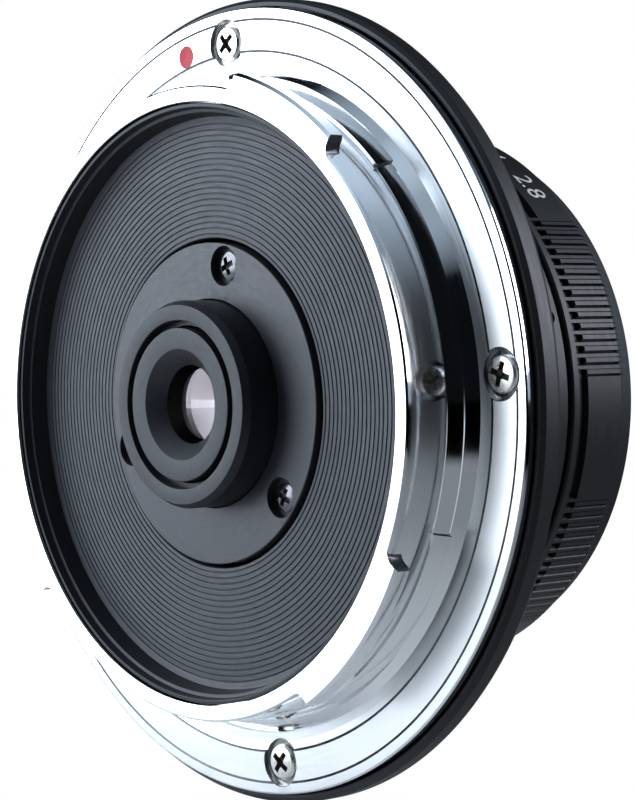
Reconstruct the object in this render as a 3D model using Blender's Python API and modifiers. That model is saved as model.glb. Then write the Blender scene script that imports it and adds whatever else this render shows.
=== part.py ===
"""Manual prime camera lens with a three-lug bayonet, as the separate pieces it comes apart into.

Sizes are in millimetres in the lens's own frame: Z runs along the optical axis to the rear, X is right
and Y is up as seen from the rear, and Z = 0 is the flange seat. One empty lays that frame down so that
the optical axis lies along world Y, with the rear of the lens towards +Y.
"""
from math import asin, atan2, ceil, cos, degrees, hypot, pi, radians, sin

import bmesh
import bpy
from mathutils import Matrix

MM = 0.001

# Clearances, and how far a cutter reaches past what it cuts
FIT = 0.1
GAP = 0.3
OVERCUT = 1.0

# Segments round a turned piece
FINE = 48
MEDIUM = 36
SMALL = 24
TINY = 12
HALF_STEP = 180.0 / FINE

# Bayonet mount
CHANNEL_DEPTH = 0.3
COLLAR_BORE = 25.5
COLLAR_Z = 6.0
COLLAR_EDGE = 26.72
COLLAR_FLARE = ((27.08, 1.9), (27.6, 0.6), (28.5, -CHANNEL_DEPTH))
SEAT_INNER = 30.0
FLANGE_RADIUS = 33.75
FLANGE_THICKNESS = 1.5
LEDGE_RADIUS = 24.9
LEDGE_Z = 2.25
LUG_RADIUS = 28.1
LUG_ROOT = 26.3
LUG_Z = (4.5, 5.95)
LUG_ARCS = ((48.4, 76.0), (180.0, 217.5), (299.5, 333.3))
PAD_RADIUS = 27.9
PAD_Z = (0.3, 1.85)
PAD_MARGIN = 4.6

# Mount screws and index dot in the flange
SCREW_CIRCLE = 31.0
SCREW_ANGLES = (92.2, 4.0, -83.0, 184.0)
SCREW_HEAD = 1.6
SCREW_HEAD_Z = (-0.45, 0.1)
SCREW_CROWN = 0.6 * SCREW_HEAD
SCREW_RECESS = 2.15
SCREW_RECESS_DEPTH = 0.55
SCREW_SHANK = 0.8
SCREW_TIP_Z = -3.2
SCREW_HOLE = 1.0
DOT_CIRCLE = 31.1
DOT_ANGLE = 102.4
DOT_RADIUS = 0.97
DOT_DEPTH = 0.4
DOT_PROUD = 0.02

# Base barrel: a wide rim behind a narrow neck
SHIM_THICKNESS = 0.25
SHIM_Z = -FLANGE_THICKNESS - FIT / 2
BASE_FLOOR = SHIM_Z - SHIM_THICKNESS - FIT / 2
BASE_RADIUS = 34.6
BASE_RECESS = FLANGE_RADIUS + GAP / 2
BASE_RIM_Z = -0.9
BASE_FRONT_Z = -4.2
BASE_CHAMFER = 0.35
BASE_SIDE_Z = -2.6
BASE_SHOULDER = (34.3, -3.1)
BASE_FRONT_RADIUS = 32.6
NECK_RADIUS = 24.3
NECK_BORE = 23.4
NECK_Z = -9.2

# Rear baffle
BAFFLE_RADIUS = COLLAR_BORE - FIT
BAFFLE_WALL = 24.4
BAFFLE_TOP = 5.7
BAFFLE_FACE = 3.4
BAFFLE_FALL = 0.2
BAFFLE_HOLE = 14.1

# Lens barrel, which carries the optics and slides forward to focus
BARREL_RADIUS = 21.6
BARREL_BORE = 20.4
BARREL_Z = (2.0, -22.5)
WEB_Z = (-6.9, -8.3)
SLEEVE_RADIUS = 13.4
SLEEVE_BORE = 9.6
SLEEVE_Z = 2.35
KEY_WIDTH = 3.0
KEY_ANGLES = (0.0, 180.0)
KEY_RADII = (20.7, 24.7)
KEY_TOP = 0.2
KEY_SLOT_Z = -2.3
KEY_SLOT_DEPTH = 4.0

# Focus ring and helicoid
HELICOID_RADII = (BARREL_RADIUS + GAP, NECK_BORE - GAP)
HELICOID_REAR = -2.1
FOCUS_RADIUS = 26.4
FOCUS_BORE = NECK_RADIUS + GAP
FOCUS_Z = (-4.5, -10.9)
FOCUS_CHAMFER = 0.5
FOCUS_TURN = 100.0
FOCUS_SCREW_Z = -10.2
STOP_CIRCLE = 25.3
STOP_ANGLE = -90.0
STOP_RADIUS = 0.25
STOP_DEPTH = 1.0
SET_SCREW_RADIUS = 0.5
SET_SCREW_SUNK = 0.5
SET_SCREW_ANGLES = (16.0, 136.0, 256.0)

# Index ring, aperture ring and filter ring on the front of the barrel
RING_RADIUS = 24.1
RING_BORE = BARREL_RADIUS + GAP
INDEX_Z = (-11.3, -15.1)
INDEX_SCREW_Z = -14.0
APERTURE_REAR = -15.7
APERTURE_LIP = -16.5
APERTURE_GROOVE = -17.5
APERTURE_GRIP = -21.7
APERTURE_FRONT = -24.4
APERTURE_FRONT_RADIUS = 22.8
GROOVE_DEPTH = 0.5
POCKET_DEPTH = 4.0
FILTER_RADIUS = 22.3
FILTER_WEB = (-22.7, -23.3)
FILTER_FRONT = -25.0
FILTER_THREAD = 20.5
FILTER_SKIRT = (19.0, 20.1)
FILTER_REAR = -20.6

# Iris
BLADE_COUNT = 6
BLADE_THICKNESS = 0.2
BLADE_PITCH = 0.36
BLADE_BOTTOM = -12.35
BLADE_INNER = 4.1
BLADE_OUTER = 7.6
BLADE_ARC = (-12.0, 150.0)
BLADE_TIP = (5.7, 157.0)
PIVOT_CIRCLE = 9.0
PIN_RADIUS = 0.3
PIN_HOLE = 0.45
ARM_ANGLE = -23.0
ARM_HALF_WIDTH = 0.6
APERTURE_TURN = 60.0
BLADE_SWING = 21.0
HOUSING_RADII = (12.0, 12.9)
HOUSING_Z = (-8.55, -13.4)
HOUSING_FLOOR = -12.6
HOUSING_HOLE = 5.0
COVER_RADII = (5.2, 11.8)
COVER_Z = (-8.65, -9.05)
ACTUATOR_RADII = (7.9, 11.6)
ACTUATOR_Z = (-9.35, -9.95)
LEVER_ANGLE = 200.0
LEVER_WIDTH = 2.0
LEVER_FINGER = (16.4, 17.6)
LEVER_STUB_Z = (-17.4, -18.6)
LEVER_TOP = -9.2
LEVER_END = 22.8
FORK_HALF_WIDTH = 2.5
FORK_REACH = 18.6
FORK_SLOT = 15.9

# Front optics
CELL_RADIUS = 9.4
CELL_BORE = 8.1
CELL_Z = (-13.65, -19.5)
CELL_FLANGE = (11.6, -14.5)
CELL_HOLE = 4.8
CELL_FLOOR = -14.6
ELEMENT_RADIUS = 7.9
SECOND_FACES = ((-14.75, 0.0), (-15.6, -0.6))
SPACER_Z = (-16.35, -16.9)
FRONT_FACES = ((-17.4, -0.35), (-19.2, 1.0))
RETAINER_BORE = 7.0
RETAINER_Z = (-18.55, -19.3)
NAME_RADIUS = 18.8
NAME_RIM = 0.9
NAME_HOLE = 8.3
NAME_OUTER_Z = (-20.9, -22.6)
NAME_INNER_Z = (-19.8, -20.4)

# Rear optics
PLATE_RADIUS = 13.73
PLATE_Z = (3.68, 2.48)
PLATE_SCREW_CIRCLE = 11.85
PLATE_SCREW_ANGLES = (79.0, 199.0, -41.0)
PLATE_SCREW_HEAD = 1.2
PLATE_SCREW_HOLE = 1.65
PLATE_SCREW_SUNK = 0.36
PLATE_SCREW_DEPTH = 0.8
PLATE_SCREW_SHANK = 0.45
REAR_BARREL_RADIUS = 8.8
REAR_BARREL_EDGE = (0.38, 0.66)
REAR_BARREL_FLANGE = 9.3
REAR_BARREL_Z = (7.08, -8.0)
REAR_RECESS = 7.12
REAR_RECESS_Z = 6.0
REAR_BORE = 6.7
REAR_SEAT = 2.8
REAR_THROAT = 5.6
REAR_FACES = ((5.3, 0.9), (3.0, 0.0))
REAR_RING_RADIUS = 6.5
REAR_RING_Z = (7.05, 5.1)
REAR_RING_CONE = ((4.72, 6.98), (3.3, 5.65))
REAR_RING_BACK = 5.4
THIRD_BORE = 7.5
THIRD_SEAT = -3.9
THIRD_RADIUS = 7.2
THIRD_FACES = ((-4.1, 0.5), (-6.9, -0.3))
THIRD_RETAINER_BORE = 6.2
THIRD_RETAINER_Z = (-7.35, -7.85)

# Finishes: colour, roughness and metallic value
CHROME = ("chromed_brass", (0.78, 0.78, 0.79), 0.18, 1.0)
STEEL = ("nickel_steel", (0.62, 0.62, 0.63), 0.28, 1.0)
BRASS = ("brass", (0.62, 0.46, 0.20), 0.35, 1.0)
BLACK = ("black_anodised", (0.022, 0.022, 0.024), 0.42, 0.0)
MATT = ("matt_black", (0.012, 0.012, 0.013), 0.75, 0.0)
RED = ("red_enamel", (0.62, 0.03, 0.03), 0.4, 0.0)
GLASS = ("coated_glass", (0.75, 0.68, 0.78), 0.03, 0.0)

LENS_NAME = "prime_camera_lens"


def clear_scene():
    for item in list(bpy.data.objects):
        bpy.data.objects.remove(item, do_unlink=True)


def new_collection(name):
    group = bpy.data.collections.new(name)
    bpy.context.scene.collection.children.link(group)
    return group


def lay_down_axis(group):
    """The empty that carries every piece: it turns the lens's frame to the world's."""
    empty = bpy.data.objects.new("optical_axis", None)
    empty.rotation_euler = (pi / 2, 0, pi)
    group.objects.link(empty)
    return empty


clear_scene()
PARTS = new_collection(LENS_NAME)
TOOLS = new_collection(LENS_NAME + "_cutters")
AXIS = lay_down_axis(PARTS)


def material(finish):
    name, colour, roughness, metallic = finish
    found = bpy.data.materials.get(name)
    if found:
        return found
    made = bpy.data.materials.new(name)
    made.use_nodes = True
    shader = made.node_tree.nodes["Principled BSDF"]
    shader.inputs["Base Color"].default_value = (*colour, 1)
    shader.inputs["Roughness"].default_value = roughness
    shader.inputs["Metallic"].default_value = metallic
    return made


def add_piece(name, mesh, finish):
    mesh.materials.append(material(finish))
    piece = bpy.data.objects.new(name, mesh)
    piece.parent = AXIS
    PARTS.objects.link(piece)
    return piece


def add_tool(mesh):
    tool = bpy.data.objects.new(mesh.name, mesh)
    tool.parent = AXIS
    tool.hide_render = True
    tool.display_type = "WIRE"
    TOOLS.objects.link(tool)
    return tool


def combine(piece, tool, operation):
    step = piece.modifiers.new(tool.name, "BOOLEAN")
    step.object = tool
    step.operation = operation
    step.solver = "EXACT"


def cut(piece, tool):
    combine(piece, tool, "DIFFERENCE")


def fuse(piece, tool):
    combine(piece, tool, "UNION")


def polar(radius, angle):
    return radius * cos(radians(angle)), radius * sin(radians(angle))


def arc(radius, start, end, step=6.0):
    """Points along an arc, both ends included."""
    count = max(1, ceil(abs(end - start) / step))
    return [polar(radius, start + (end - start) * k / count) for k in range(count + 1)]


def circle(radius, steps):
    return [polar(radius, 360.0 * k / steps) for k in range(steps)]


def band(inner, outer, start, end):
    """Outline of a sector of a ring."""
    return arc(outer, start, end) + arc(inner, end, start)


def turned(name, profile, steps, finish):
    """Spin (radius, z) points about the optical axis. A profile that starts on the axis stays open."""
    points = [(radius * MM, 0, z * MM) for radius, z in profile]
    edges = [(k, k + 1) for k in range(len(points) - 1)]
    if profile[0][0] > 0:
        edges.append((len(points) - 1, 0))
    mesh = bpy.data.meshes.new(name)
    mesh.from_pydata(points, edges, [])
    piece = add_piece(name, mesh, finish)
    spin = piece.modifiers.new("spin", "SCREW")
    spin.steps = steps
    spin.render_steps = steps
    spin.use_merge_vertices = True
    spin.merge_threshold = 0.000001
    return piece


def ring(name, outer, inner, top, bottom, steps, finish):
    profile = [(outer, top), (outer, bottom), (inner, bottom), (inner, top)]
    return turned(name, profile, steps, finish)


def plate_mesh(name, outlines, low, high):
    """A flat plate: the first outline less the others, between two heights."""
    curve = bpy.data.curves.new(name, "CURVE")
    curve.dimensions = "2D"
    curve.fill_mode = "BOTH"
    curve.extrude = (high - low) / 2
    for outline in outlines:
        spline = curve.splines.new("POLY")
        spline.points.add(len(outline) - 1)
        spline.use_cyclic_u = True
        for point, (x, y) in zip(spline.points, outline):
            point.co = (x, y, 0, 1)
    source = bpy.data.objects.new(name, curve)
    TOOLS.objects.link(source)
    view = bpy.context.evaluated_depsgraph_get()
    mesh = bpy.data.meshes.new_from_object(source.evaluated_get(view))
    bpy.data.objects.remove(source, do_unlink=True)
    mesh.name = name
    work = bmesh.new()
    work.from_mesh(mesh)
    bmesh.ops.remove_doubles(work, verts=work.verts, dist=0.001)
    bmesh.ops.recalc_face_normals(work, faces=work.faces)
    work.to_mesh(mesh)
    work.free()
    mesh.transform(Matrix.Scale(MM, 4) @ Matrix.Translation((0, 0, (low + high) / 2)))
    return mesh


def rod_mesh(name, radius, low, high, steps=TINY):
    middle = Matrix.Translation((0, 0, (low + high) / 2 * MM))
    work = bmesh.new()
    bmesh.ops.create_cone(work, cap_ends=True, segments=steps, radius1=radius * MM,
                          radius2=radius * MM, depth=(high - low) * MM, matrix=middle)
    mesh = bpy.data.meshes.new(name)
    work.to_mesh(mesh)
    work.free()
    return mesh


def box_mesh(name, size, middle):
    shape = Matrix.Translation([m * MM for m in middle]) @ Matrix.Diagonal([s * MM for s in size] + [1])
    work = bmesh.new()
    bmesh.ops.create_cube(work, size=1, matrix=shape)
    mesh = bpy.data.meshes.new(name)
    work.to_mesh(mesh)
    work.free()
    return mesh


def stand_at(item, radius, angle):
    """Move an upright piece out to a place on a circle."""
    x, y = polar(radius, angle)
    item.location = (x * MM, y * MM, 0)
    return item


def point_outward(item, angle, z):
    """Lay an upright rod along a radius, so that its heights become radii."""
    item.rotation_euler = (0, pi / 2, radians(angle))
    item.location = (0, 0, z * MM)
    return item


def turn_to(item, angle):
    item.rotation_euler = (0, 0, radians(angle))
    return item


def drill(piece, radius, low, high, circle_radius, angle, steps=TINY):
    tool = add_tool(rod_mesh(piece.name + "_hole", radius, low, high, steps))
    cut(piece, stand_at(tool, circle_radius, angle))


def drill_radially(piece, radius, low, high, angle, z):
    tool = add_tool(rod_mesh(piece.name + "_cross_hole", radius, low, high))
    cut(piece, point_outward(tool, angle, z))


def bayonet_mount():
    outer = [(COLLAR_EDGE, COLLAR_Z), *COLLAR_FLARE, (SEAT_INNER, -CHANNEL_DEPTH), (SEAT_INNER, 0),
             (FLANGE_RADIUS, 0)]
    inner = [(FLANGE_RADIUS, -FLANGE_THICKNESS), (LEDGE_RADIUS, -FLANGE_THICKNESS),
             (LEDGE_RADIUS, LEDGE_Z), (COLLAR_BORE, LEDGE_Z), (COLLAR_BORE, COLLAR_Z)]
    piece = turn_to(turned("bayonet_mount", outer + inner, FINE, CHROME), HALF_STEP)
    for start, end in LUG_ARCS:
        lug = plate_mesh("lug", [band(LUG_ROOT, LUG_RADIUS, start, end)], *LUG_Z)
        fuse(piece, add_tool(lug))
        pad = plate_mesh("pad", [band(LUG_ROOT, PAD_RADIUS, start - PAD_MARGIN, end + PAD_MARGIN)], *PAD_Z)
        fuse(piece, add_tool(pad))
    for angle in SCREW_ANGLES:
        drill(piece, SCREW_RECESS, -SCREW_RECESS_DEPTH, OVERCUT, SCREW_CIRCLE, angle, SMALL)
        drill(piece, SCREW_HOLE, -2 * FLANGE_THICKNESS, 0, SCREW_CIRCLE, angle)
    drill(piece, DOT_RADIUS + FIT, -DOT_DEPTH - FIT, OVERCUT, DOT_CIRCLE, DOT_ANGLE)


def mount_screws():
    for number, angle in enumerate(SCREW_ANGLES, 1):
        low, high = SCREW_HEAD_Z
        profile = [(0, high), (SCREW_CROWN, high), (SCREW_HEAD, (low + high) / 2), (SCREW_HEAD, low),
                   (SCREW_SHANK, low), (SCREW_SHANK, SCREW_TIP_Z), (0, SCREW_TIP_Z)]
        screw = turned(f"mount_screw_{number}", profile, TINY, STEEL)
        stand_at(screw, SCREW_CIRCLE, angle)


def index_dot():
    dot = add_piece("index_dot", rod_mesh("index_dot", DOT_RADIUS, -DOT_DEPTH, DOT_PROUD), RED)
    stand_at(dot, DOT_CIRCLE, DOT_ANGLE)


def mount_shim():
    shim = ring("mount_shim", FLANGE_RADIUS - GAP, LEDGE_RADIUS, SHIM_Z, SHIM_Z - SHIM_THICKNESS,
                MEDIUM, BRASS)
    for angle in SCREW_ANGLES:
        drill(shim, SCREW_HOLE, SHIM_Z - OVERCUT, SHIM_Z + OVERCUT, SCREW_CIRCLE, angle)


def base_barrel():
    rim = [(BASE_RECESS, BASE_RIM_Z), (BASE_RADIUS - BASE_CHAMFER, BASE_RIM_Z),
           (BASE_RADIUS, BASE_RIM_Z - BASE_CHAMFER), (BASE_RADIUS, BASE_SIDE_Z), BASE_SHOULDER]
    front = [(BASE_FRONT_RADIUS, BASE_FRONT_Z), (NECK_RADIUS, BASE_FRONT_Z), (NECK_RADIUS, NECK_Z)]
    inside = [(NECK_BORE, NECK_Z), (NECK_BORE, BASE_FLOOR), (BASE_RECESS, BASE_FLOOR)]
    piece = turned("base_barrel", rim + front + inside, FINE, BLACK)
    for angle in SCREW_ANGLES:
        drill(piece, SCREW_HOLE, SCREW_TIP_Z - FIT, BASE_FLOOR + OVERCUT, SCREW_CIRCLE, angle)
    drill(piece, STOP_RADIUS + FIT, BASE_FRONT_Z - OVERCUT, BASE_FRONT_Z + STOP_DEPTH, STOP_CIRCLE, STOP_ANGLE)


def focus_stop_pin():
    low = FOCUS_Z[0] - STOP_DEPTH + GAP
    high = BASE_FRONT_Z + STOP_DEPTH - FIT
    pin = add_piece("focus_stop_pin", rod_mesh("focus_stop_pin", STOP_RADIUS, low, high), STEEL)
    stand_at(pin, STOP_CIRCLE, STOP_ANGLE)


def rear_baffle():
    under = LEDGE_Z + FIT
    profile = [(BAFFLE_RADIUS, BAFFLE_TOP), (BAFFLE_RADIUS, under), (BAFFLE_HOLE, under),
               (BAFFLE_HOLE, BAFFLE_FACE - BAFFLE_FALL), (BAFFLE_WALL - FIT, BAFFLE_FACE),
               (BAFFLE_WALL, BAFFLE_TOP)]
    turned("rear_baffle", profile, FINE, MATT)


def guide_keys():
    low = BASE_FLOOR + FIT
    inner, outer = KEY_RADII
    size = (outer - inner, KEY_WIDTH, KEY_TOP - low)
    middle = ((inner + outer) / 2, 0, (KEY_TOP + low) / 2)
    for number, angle in enumerate(KEY_ANGLES, 1):
        name = f"guide_key_{number}"
        turn_to(add_piece(name, box_mesh(name, size, middle), STEEL), angle)


def focus_ring():
    top, bottom = FOCUS_Z
    shoulder = FOCUS_RADIUS - FOCUS_CHAMFER
    profile = [(shoulder, top), (FOCUS_RADIUS, top - FOCUS_CHAMFER), (FOCUS_RADIUS, bottom + FOCUS_CHAMFER),
               (shoulder, bottom), (FOCUS_BORE, bottom), (FOCUS_BORE, top)]
    piece = turned("focus_ring", profile, FINE, BLACK)
    half_width = STOP_RADIUS + FIT
    margin = degrees((half_width + FIT) / STOP_CIRCLE)
    groove = band(STOP_CIRCLE - half_width, STOP_CIRCLE + half_width,
                  STOP_ANGLE - FOCUS_TURN - margin, STOP_ANGLE + margin)
    cut(piece, add_tool(plate_mesh("stop_groove", [groove], top - STOP_DEPTH, top + OVERCUT)))
    for angle in SET_SCREW_ANGLES:
        drill_radially(piece, SET_SCREW_RADIUS + FIT, NECK_RADIUS, FOCUS_RADIUS + OVERCUT, angle, FOCUS_SCREW_Z)


def focus_helicoid():
    bore, outer = HELICOID_RADII
    flange = FOCUS_BORE - GAP
    front = FOCUS_Z[1]
    profile = [(outer, HELICOID_REAR), (outer, NECK_Z - GAP), (flange, NECK_Z - GAP), (flange, front),
               (bore, front), (bore, HELICOID_REAR)]
    piece = turned("focus_helicoid", profile, MEDIUM, BRASS)
    for angle in SET_SCREW_ANGLES:
        drill_radially(piece, SET_SCREW_RADIUS + FIT, outer - GAP, FOCUS_RADIUS, angle, FOCUS_SCREW_Z)


def set_screws(prefix, low, high, z):
    for number, angle in enumerate(SET_SCREW_ANGLES, 1):
        name = f"{prefix}_{number}"
        point_outward(add_piece(name, rod_mesh(name, SET_SCREW_RADIUS, low, high), STEEL), angle, z)


def lens_barrel():
    rear, front = BARREL_Z
    web_rear, web_front = WEB_Z
    profile = [(BARREL_RADIUS, rear), (BARREL_RADIUS, front), (BARREL_BORE, front), (BARREL_BORE, web_front),
               (SLEEVE_BORE, web_front), (SLEEVE_BORE, SLEEVE_Z), (SLEEVE_RADIUS, SLEEVE_Z),
               (SLEEVE_RADIUS, web_rear), (BARREL_BORE, web_rear), (BARREL_BORE, rear)]
    piece = turned("lens_barrel", profile, MEDIUM, BLACK)
    slot_end = rear + OVERCUT
    slot_size = (KEY_SLOT_DEPTH, KEY_WIDTH + 2 * FIT, slot_end - KEY_SLOT_Z)
    slot_middle = (BARREL_RADIUS, 0, (slot_end + KEY_SLOT_Z) / 2)
    for angle in KEY_ANGLES:
        cut(piece, turn_to(add_tool(box_mesh("key_slot", slot_size, slot_middle)), angle))
    top, bottom = LEVER_STUB_Z
    margin = degrees((LEVER_WIDTH / 2 + GAP) / BARREL_BORE)
    sweep = band(BARREL_BORE - OVERCUT, BARREL_RADIUS + OVERCUT, LEVER_ANGLE - APERTURE_TURN - margin,
                 LEVER_ANGLE + margin)
    cut(piece, add_tool(plate_mesh("lever_slot", [sweep], bottom - GAP, top + GAP)))
    for angle in PLATE_SCREW_ANGLES:
        drill(piece, PLATE_SCREW_SHANK + FIT, 0, SLEEVE_Z + OVERCUT, PLATE_SCREW_CIRCLE, angle)


def index_ring():
    piece = ring("index_ring", RING_RADIUS, RING_BORE, *INDEX_Z, FINE, BLACK)
    for angle in SET_SCREW_ANGLES:
        drill_radially(piece, SET_SCREW_RADIUS + FIT, RING_BORE - OVERCUT, RING_RADIUS + OVERCUT, angle,
                       INDEX_SCREW_Z)


def aperture_ring():
    floor = RING_RADIUS - GROOVE_DEPTH
    counterbore = FILTER_RADIUS + GAP
    outer = [(RING_RADIUS, APERTURE_REAR), (RING_RADIUS, APERTURE_LIP), (floor, APERTURE_LIP),
             (floor, APERTURE_GROOVE), (RING_RADIUS, APERTURE_GROOVE), (RING_RADIUS, APERTURE_GRIP),
             (APERTURE_FRONT_RADIUS, APERTURE_FRONT)]
    inner = [(counterbore, APERTURE_FRONT), (counterbore, FILTER_WEB[0] + GAP),
             (RING_BORE, FILTER_WEB[0] + GAP), (RING_BORE, APERTURE_REAR)]
    piece = turned("aperture_ring", outer + inner, FINE, BLACK)
    top, bottom = LEVER_STUB_Z
    pocket_size = (POCKET_DEPTH, LEVER_WIDTH + 2 * FIT, top - bottom + 2 * FIT)
    pocket_middle = (LEVER_END + FIT - POCKET_DEPTH / 2, 0, (top + bottom) / 2)
    cut(piece, turn_to(add_tool(box_mesh("lever_pocket", pocket_size, pocket_middle)), LEVER_ANGLE))


def filter_ring():
    skirt_bore, skirt = FILTER_SKIRT
    web_rear, web_front = FILTER_WEB
    profile = [(skirt, FILTER_REAR), (skirt, web_rear), (FILTER_RADIUS, web_rear),
               (FILTER_RADIUS, FILTER_FRONT),
               (FILTER_THREAD, FILTER_FRONT), (FILTER_THREAD, web_front), (skirt_bore, web_front),
               (skirt_bore, FILTER_REAR)]
    turned("filter_ring", profile, FINE, BLACK)


def name_ring():
    outer_rear, outer_front = NAME_OUTER_Z
    inner_rear, inner_front = NAME_INNER_Z
    outer = [(NAME_RADIUS, outer_rear), (NAME_RADIUS, outer_front), (NAME_RADIUS - NAME_RIM, outer_front)]
    inner = [(NAME_HOLE, inner_front), (NAME_HOLE, inner_rear)]
    turned("name_ring", outer + inner, MEDIUM, BLACK)


def aperture_lever():
    inner, outer = LEVER_FINGER
    top, bottom = LEVER_STUB_Z
    outline = [(inner, bottom), (LEVER_END, bottom), (LEVER_END, top), (outer, top),
               (outer, LEVER_TOP), (inner, LEVER_TOP)]
    mesh = plate_mesh("aperture_lever", [outline], -LEVER_WIDTH / 2, LEVER_WIDTH / 2)
    lever = add_piece("aperture_lever", mesh, STEEL)
    lever.rotation_euler = (pi / 2, 0, radians(LEVER_ANGLE))


def drive_pin_at(swing):
    """Place of a blade's drive pin, with the blade's pivot at angle 0, when the blade has swung in."""
    pivot_x, pivot_y = polar(PIVOT_CIRCLE, 0)
    pin_x, pin_y = polar(PIVOT_CIRCLE, ARM_ANGLE)
    arm = hypot(pin_x - pivot_x, pin_y - pivot_y)
    heading = degrees(atan2(pin_y - pivot_y, pin_x - pivot_x)) + swing
    offset_x, offset_y = polar(arm, heading)
    return pivot_x + offset_x, pivot_y + offset_y


def cam_path(steps=10):
    """Track of the drive pin on the actuator, which turns back as the blade swings in."""
    path = []
    for k in range(steps + 1):
        x, y = drive_pin_at(BLADE_SWING * k / steps)
        path.append(polar(hypot(x, y), degrees(atan2(y, x)) + APERTURE_TURN * k / steps))
    return path


def slot_outline(path, half_width, end_points=3):
    """Outline of a slot of even width with round ends along a path."""
    headings = []
    for k in range(len(path)):
        before = path[max(k - 1, 0)]
        after = path[min(k + 1, len(path) - 1)]
        headings.append(degrees(atan2(after[1] - before[1], after[0] - before[0])))
    outline = []
    for (x, y), heading in zip(path, headings):
        outline.append(((x, y), heading - 90))
    for k in range(1, end_points + 1):
        outline.append((path[-1], headings[-1] - 90 + 180 * k / (end_points + 1)))
    for (x, y), heading in zip(reversed(path), reversed(headings)):
        outline.append(((x, y), heading + 90))
    for k in range(1, end_points + 1):
        outline.append((path[0], headings[0] + 90 + 180 * k / (end_points + 1)))
    sides = []
    for (x, y), side in outline:
        offset_x, offset_y = polar(half_width, side)
        sides.append((x + offset_x, y + offset_y))
    return sides


def turned_by(points, angle):
    return [polar(hypot(x, y), degrees(atan2(y, x)) + angle) for x, y in points]


def iris_actuator():
    inner, outer = ACTUATOR_RADII
    slot_half = LEVER_WIDTH / 2 + GAP
    edge = degrees(asin(FORK_HALF_WIDTH / outer))
    rim = turned_by(arc(outer, edge, 360 - edge, 9.0), LEVER_ANGLE)
    fork = [(FORK_REACH, -FORK_HALF_WIDTH), (FORK_REACH, -slot_half), (FORK_SLOT, -slot_half),
            (FORK_SLOT, slot_half), (FORK_REACH, slot_half), (FORK_REACH, FORK_HALF_WIDTH)]
    outlines = [rim + turned_by(fork, LEVER_ANGLE), circle(inner, SMALL)]
    cam_slot = slot_outline(cam_path(), PIN_HOLE)
    for number in range(BLADE_COUNT):
        outlines.append(turned_by(cam_slot, 360.0 * number / BLADE_COUNT))
    high, low = ACTUATOR_Z
    add_piece("iris_actuator", plate_mesh("iris_actuator", outlines, low, high), STEEL)


def blade_outline():
    """A crescent that hangs on its pivot, with a short arm for the drive pin. The axis is the origin."""
    start, end = BLADE_ARC
    pivot_edge = degrees(ARM_HALF_WIDTH / PIVOT_CIRCLE)
    arm_end = ARM_ANGLE - pivot_edge
    inside = PIVOT_CIRCLE - ARM_HALF_WIDTH
    outside = PIVOT_CIRCLE + ARM_HALF_WIDTH
    crescent = arc(BLADE_INNER, start, end, 13.0) + [polar(*BLADE_TIP)]
    crescent += arc(BLADE_OUTER, end, 2 * pivot_edge, 13.0)
    arm = [polar(outside, pivot_edge)] + arc(outside, 0, ARM_ANGLE, 12.0) + [polar(PIVOT_CIRCLE, arm_end)]
    arm += [polar(inside, ARM_ANGLE), polar(inside, start), polar(BLADE_OUTER, start)]
    return crescent + arm


def iris_blades():
    outline = [(x - PIVOT_CIRCLE, y) for x, y in blade_outline()]
    pin_x, pin_y = drive_pin_at(0)
    for number in range(BLADE_COUNT):
        name = f"iris_blade_{number + 1}"
        angle = 360.0 * number / BLADE_COUNT
        low = BLADE_BOTTOM + BLADE_PITCH * number
        high = low + BLADE_THICKNESS
        middle = (low + high) / 2
        blade = add_piece(name, plate_mesh(name, [outline], low, high), MATT)
        pivot = add_tool(rod_mesh(name + "_pivot", PIN_RADIUS, HOUSING_Z[1] + GAP, middle))
        drive = add_tool(rod_mesh(name + "_drive", PIN_RADIUS, middle, COVER_Z[1] - FIT))
        drive.data.transform(Matrix.Translation(((pin_x - PIVOT_CIRCLE) * MM, pin_y * MM, 0)))
        for item in (blade, pivot, drive):
            stand_at(turn_to(item, angle), PIVOT_CIRCLE, angle)
        fuse(blade, pivot)
        fuse(blade, drive)


def iris_housing():
    bore, outer = HOUSING_RADII
    rear, front = HOUSING_Z
    profile = [(outer, rear), (outer, front), (HOUSING_HOLE, front), (HOUSING_HOLE, HOUSING_FLOOR),
               (bore, HOUSING_FLOOR), (bore, rear)]
    piece = turned("iris_housing", profile, MEDIUM, BLACK)
    for number in range(BLADE_COUNT):
        angle = 360.0 * number / BLADE_COUNT
        drill(piece, PIN_HOLE, front - OVERCUT, HOUSING_FLOOR + OVERCUT, PIVOT_CIRCLE, angle)
    margin = degrees(asin(FORK_HALF_WIDTH / bore)) + 2
    sweep = band(bore - OVERCUT, outer + OVERCUT, LEVER_ANGLE - APERTURE_TURN - margin, LEVER_ANGLE + margin)
    cut(piece, add_tool(plate_mesh("fork_window", [sweep], ACTUATOR_Z[1] - GAP, rear + OVERCUT)))


def iris_cover():
    inner, outer = COVER_RADII
    ring("iris_cover", outer, inner, *COVER_Z, SMALL, BLACK)


def lens_profile(radius, faces, points=4):
    """Section of a glass element from its rear pole to its front pole: each face bulges by a parabola."""
    (rear, rear_bulge), (front, front_bulge) = faces
    rear_face = [(radius * k / points, rear - rear_bulge * (k / points) ** 2) for k in range(points + 1)]
    front_face = [(radius * k / points, front + front_bulge * (k / points) ** 2) for k in range(points + 1)]
    return rear_face + front_face[::-1]


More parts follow.
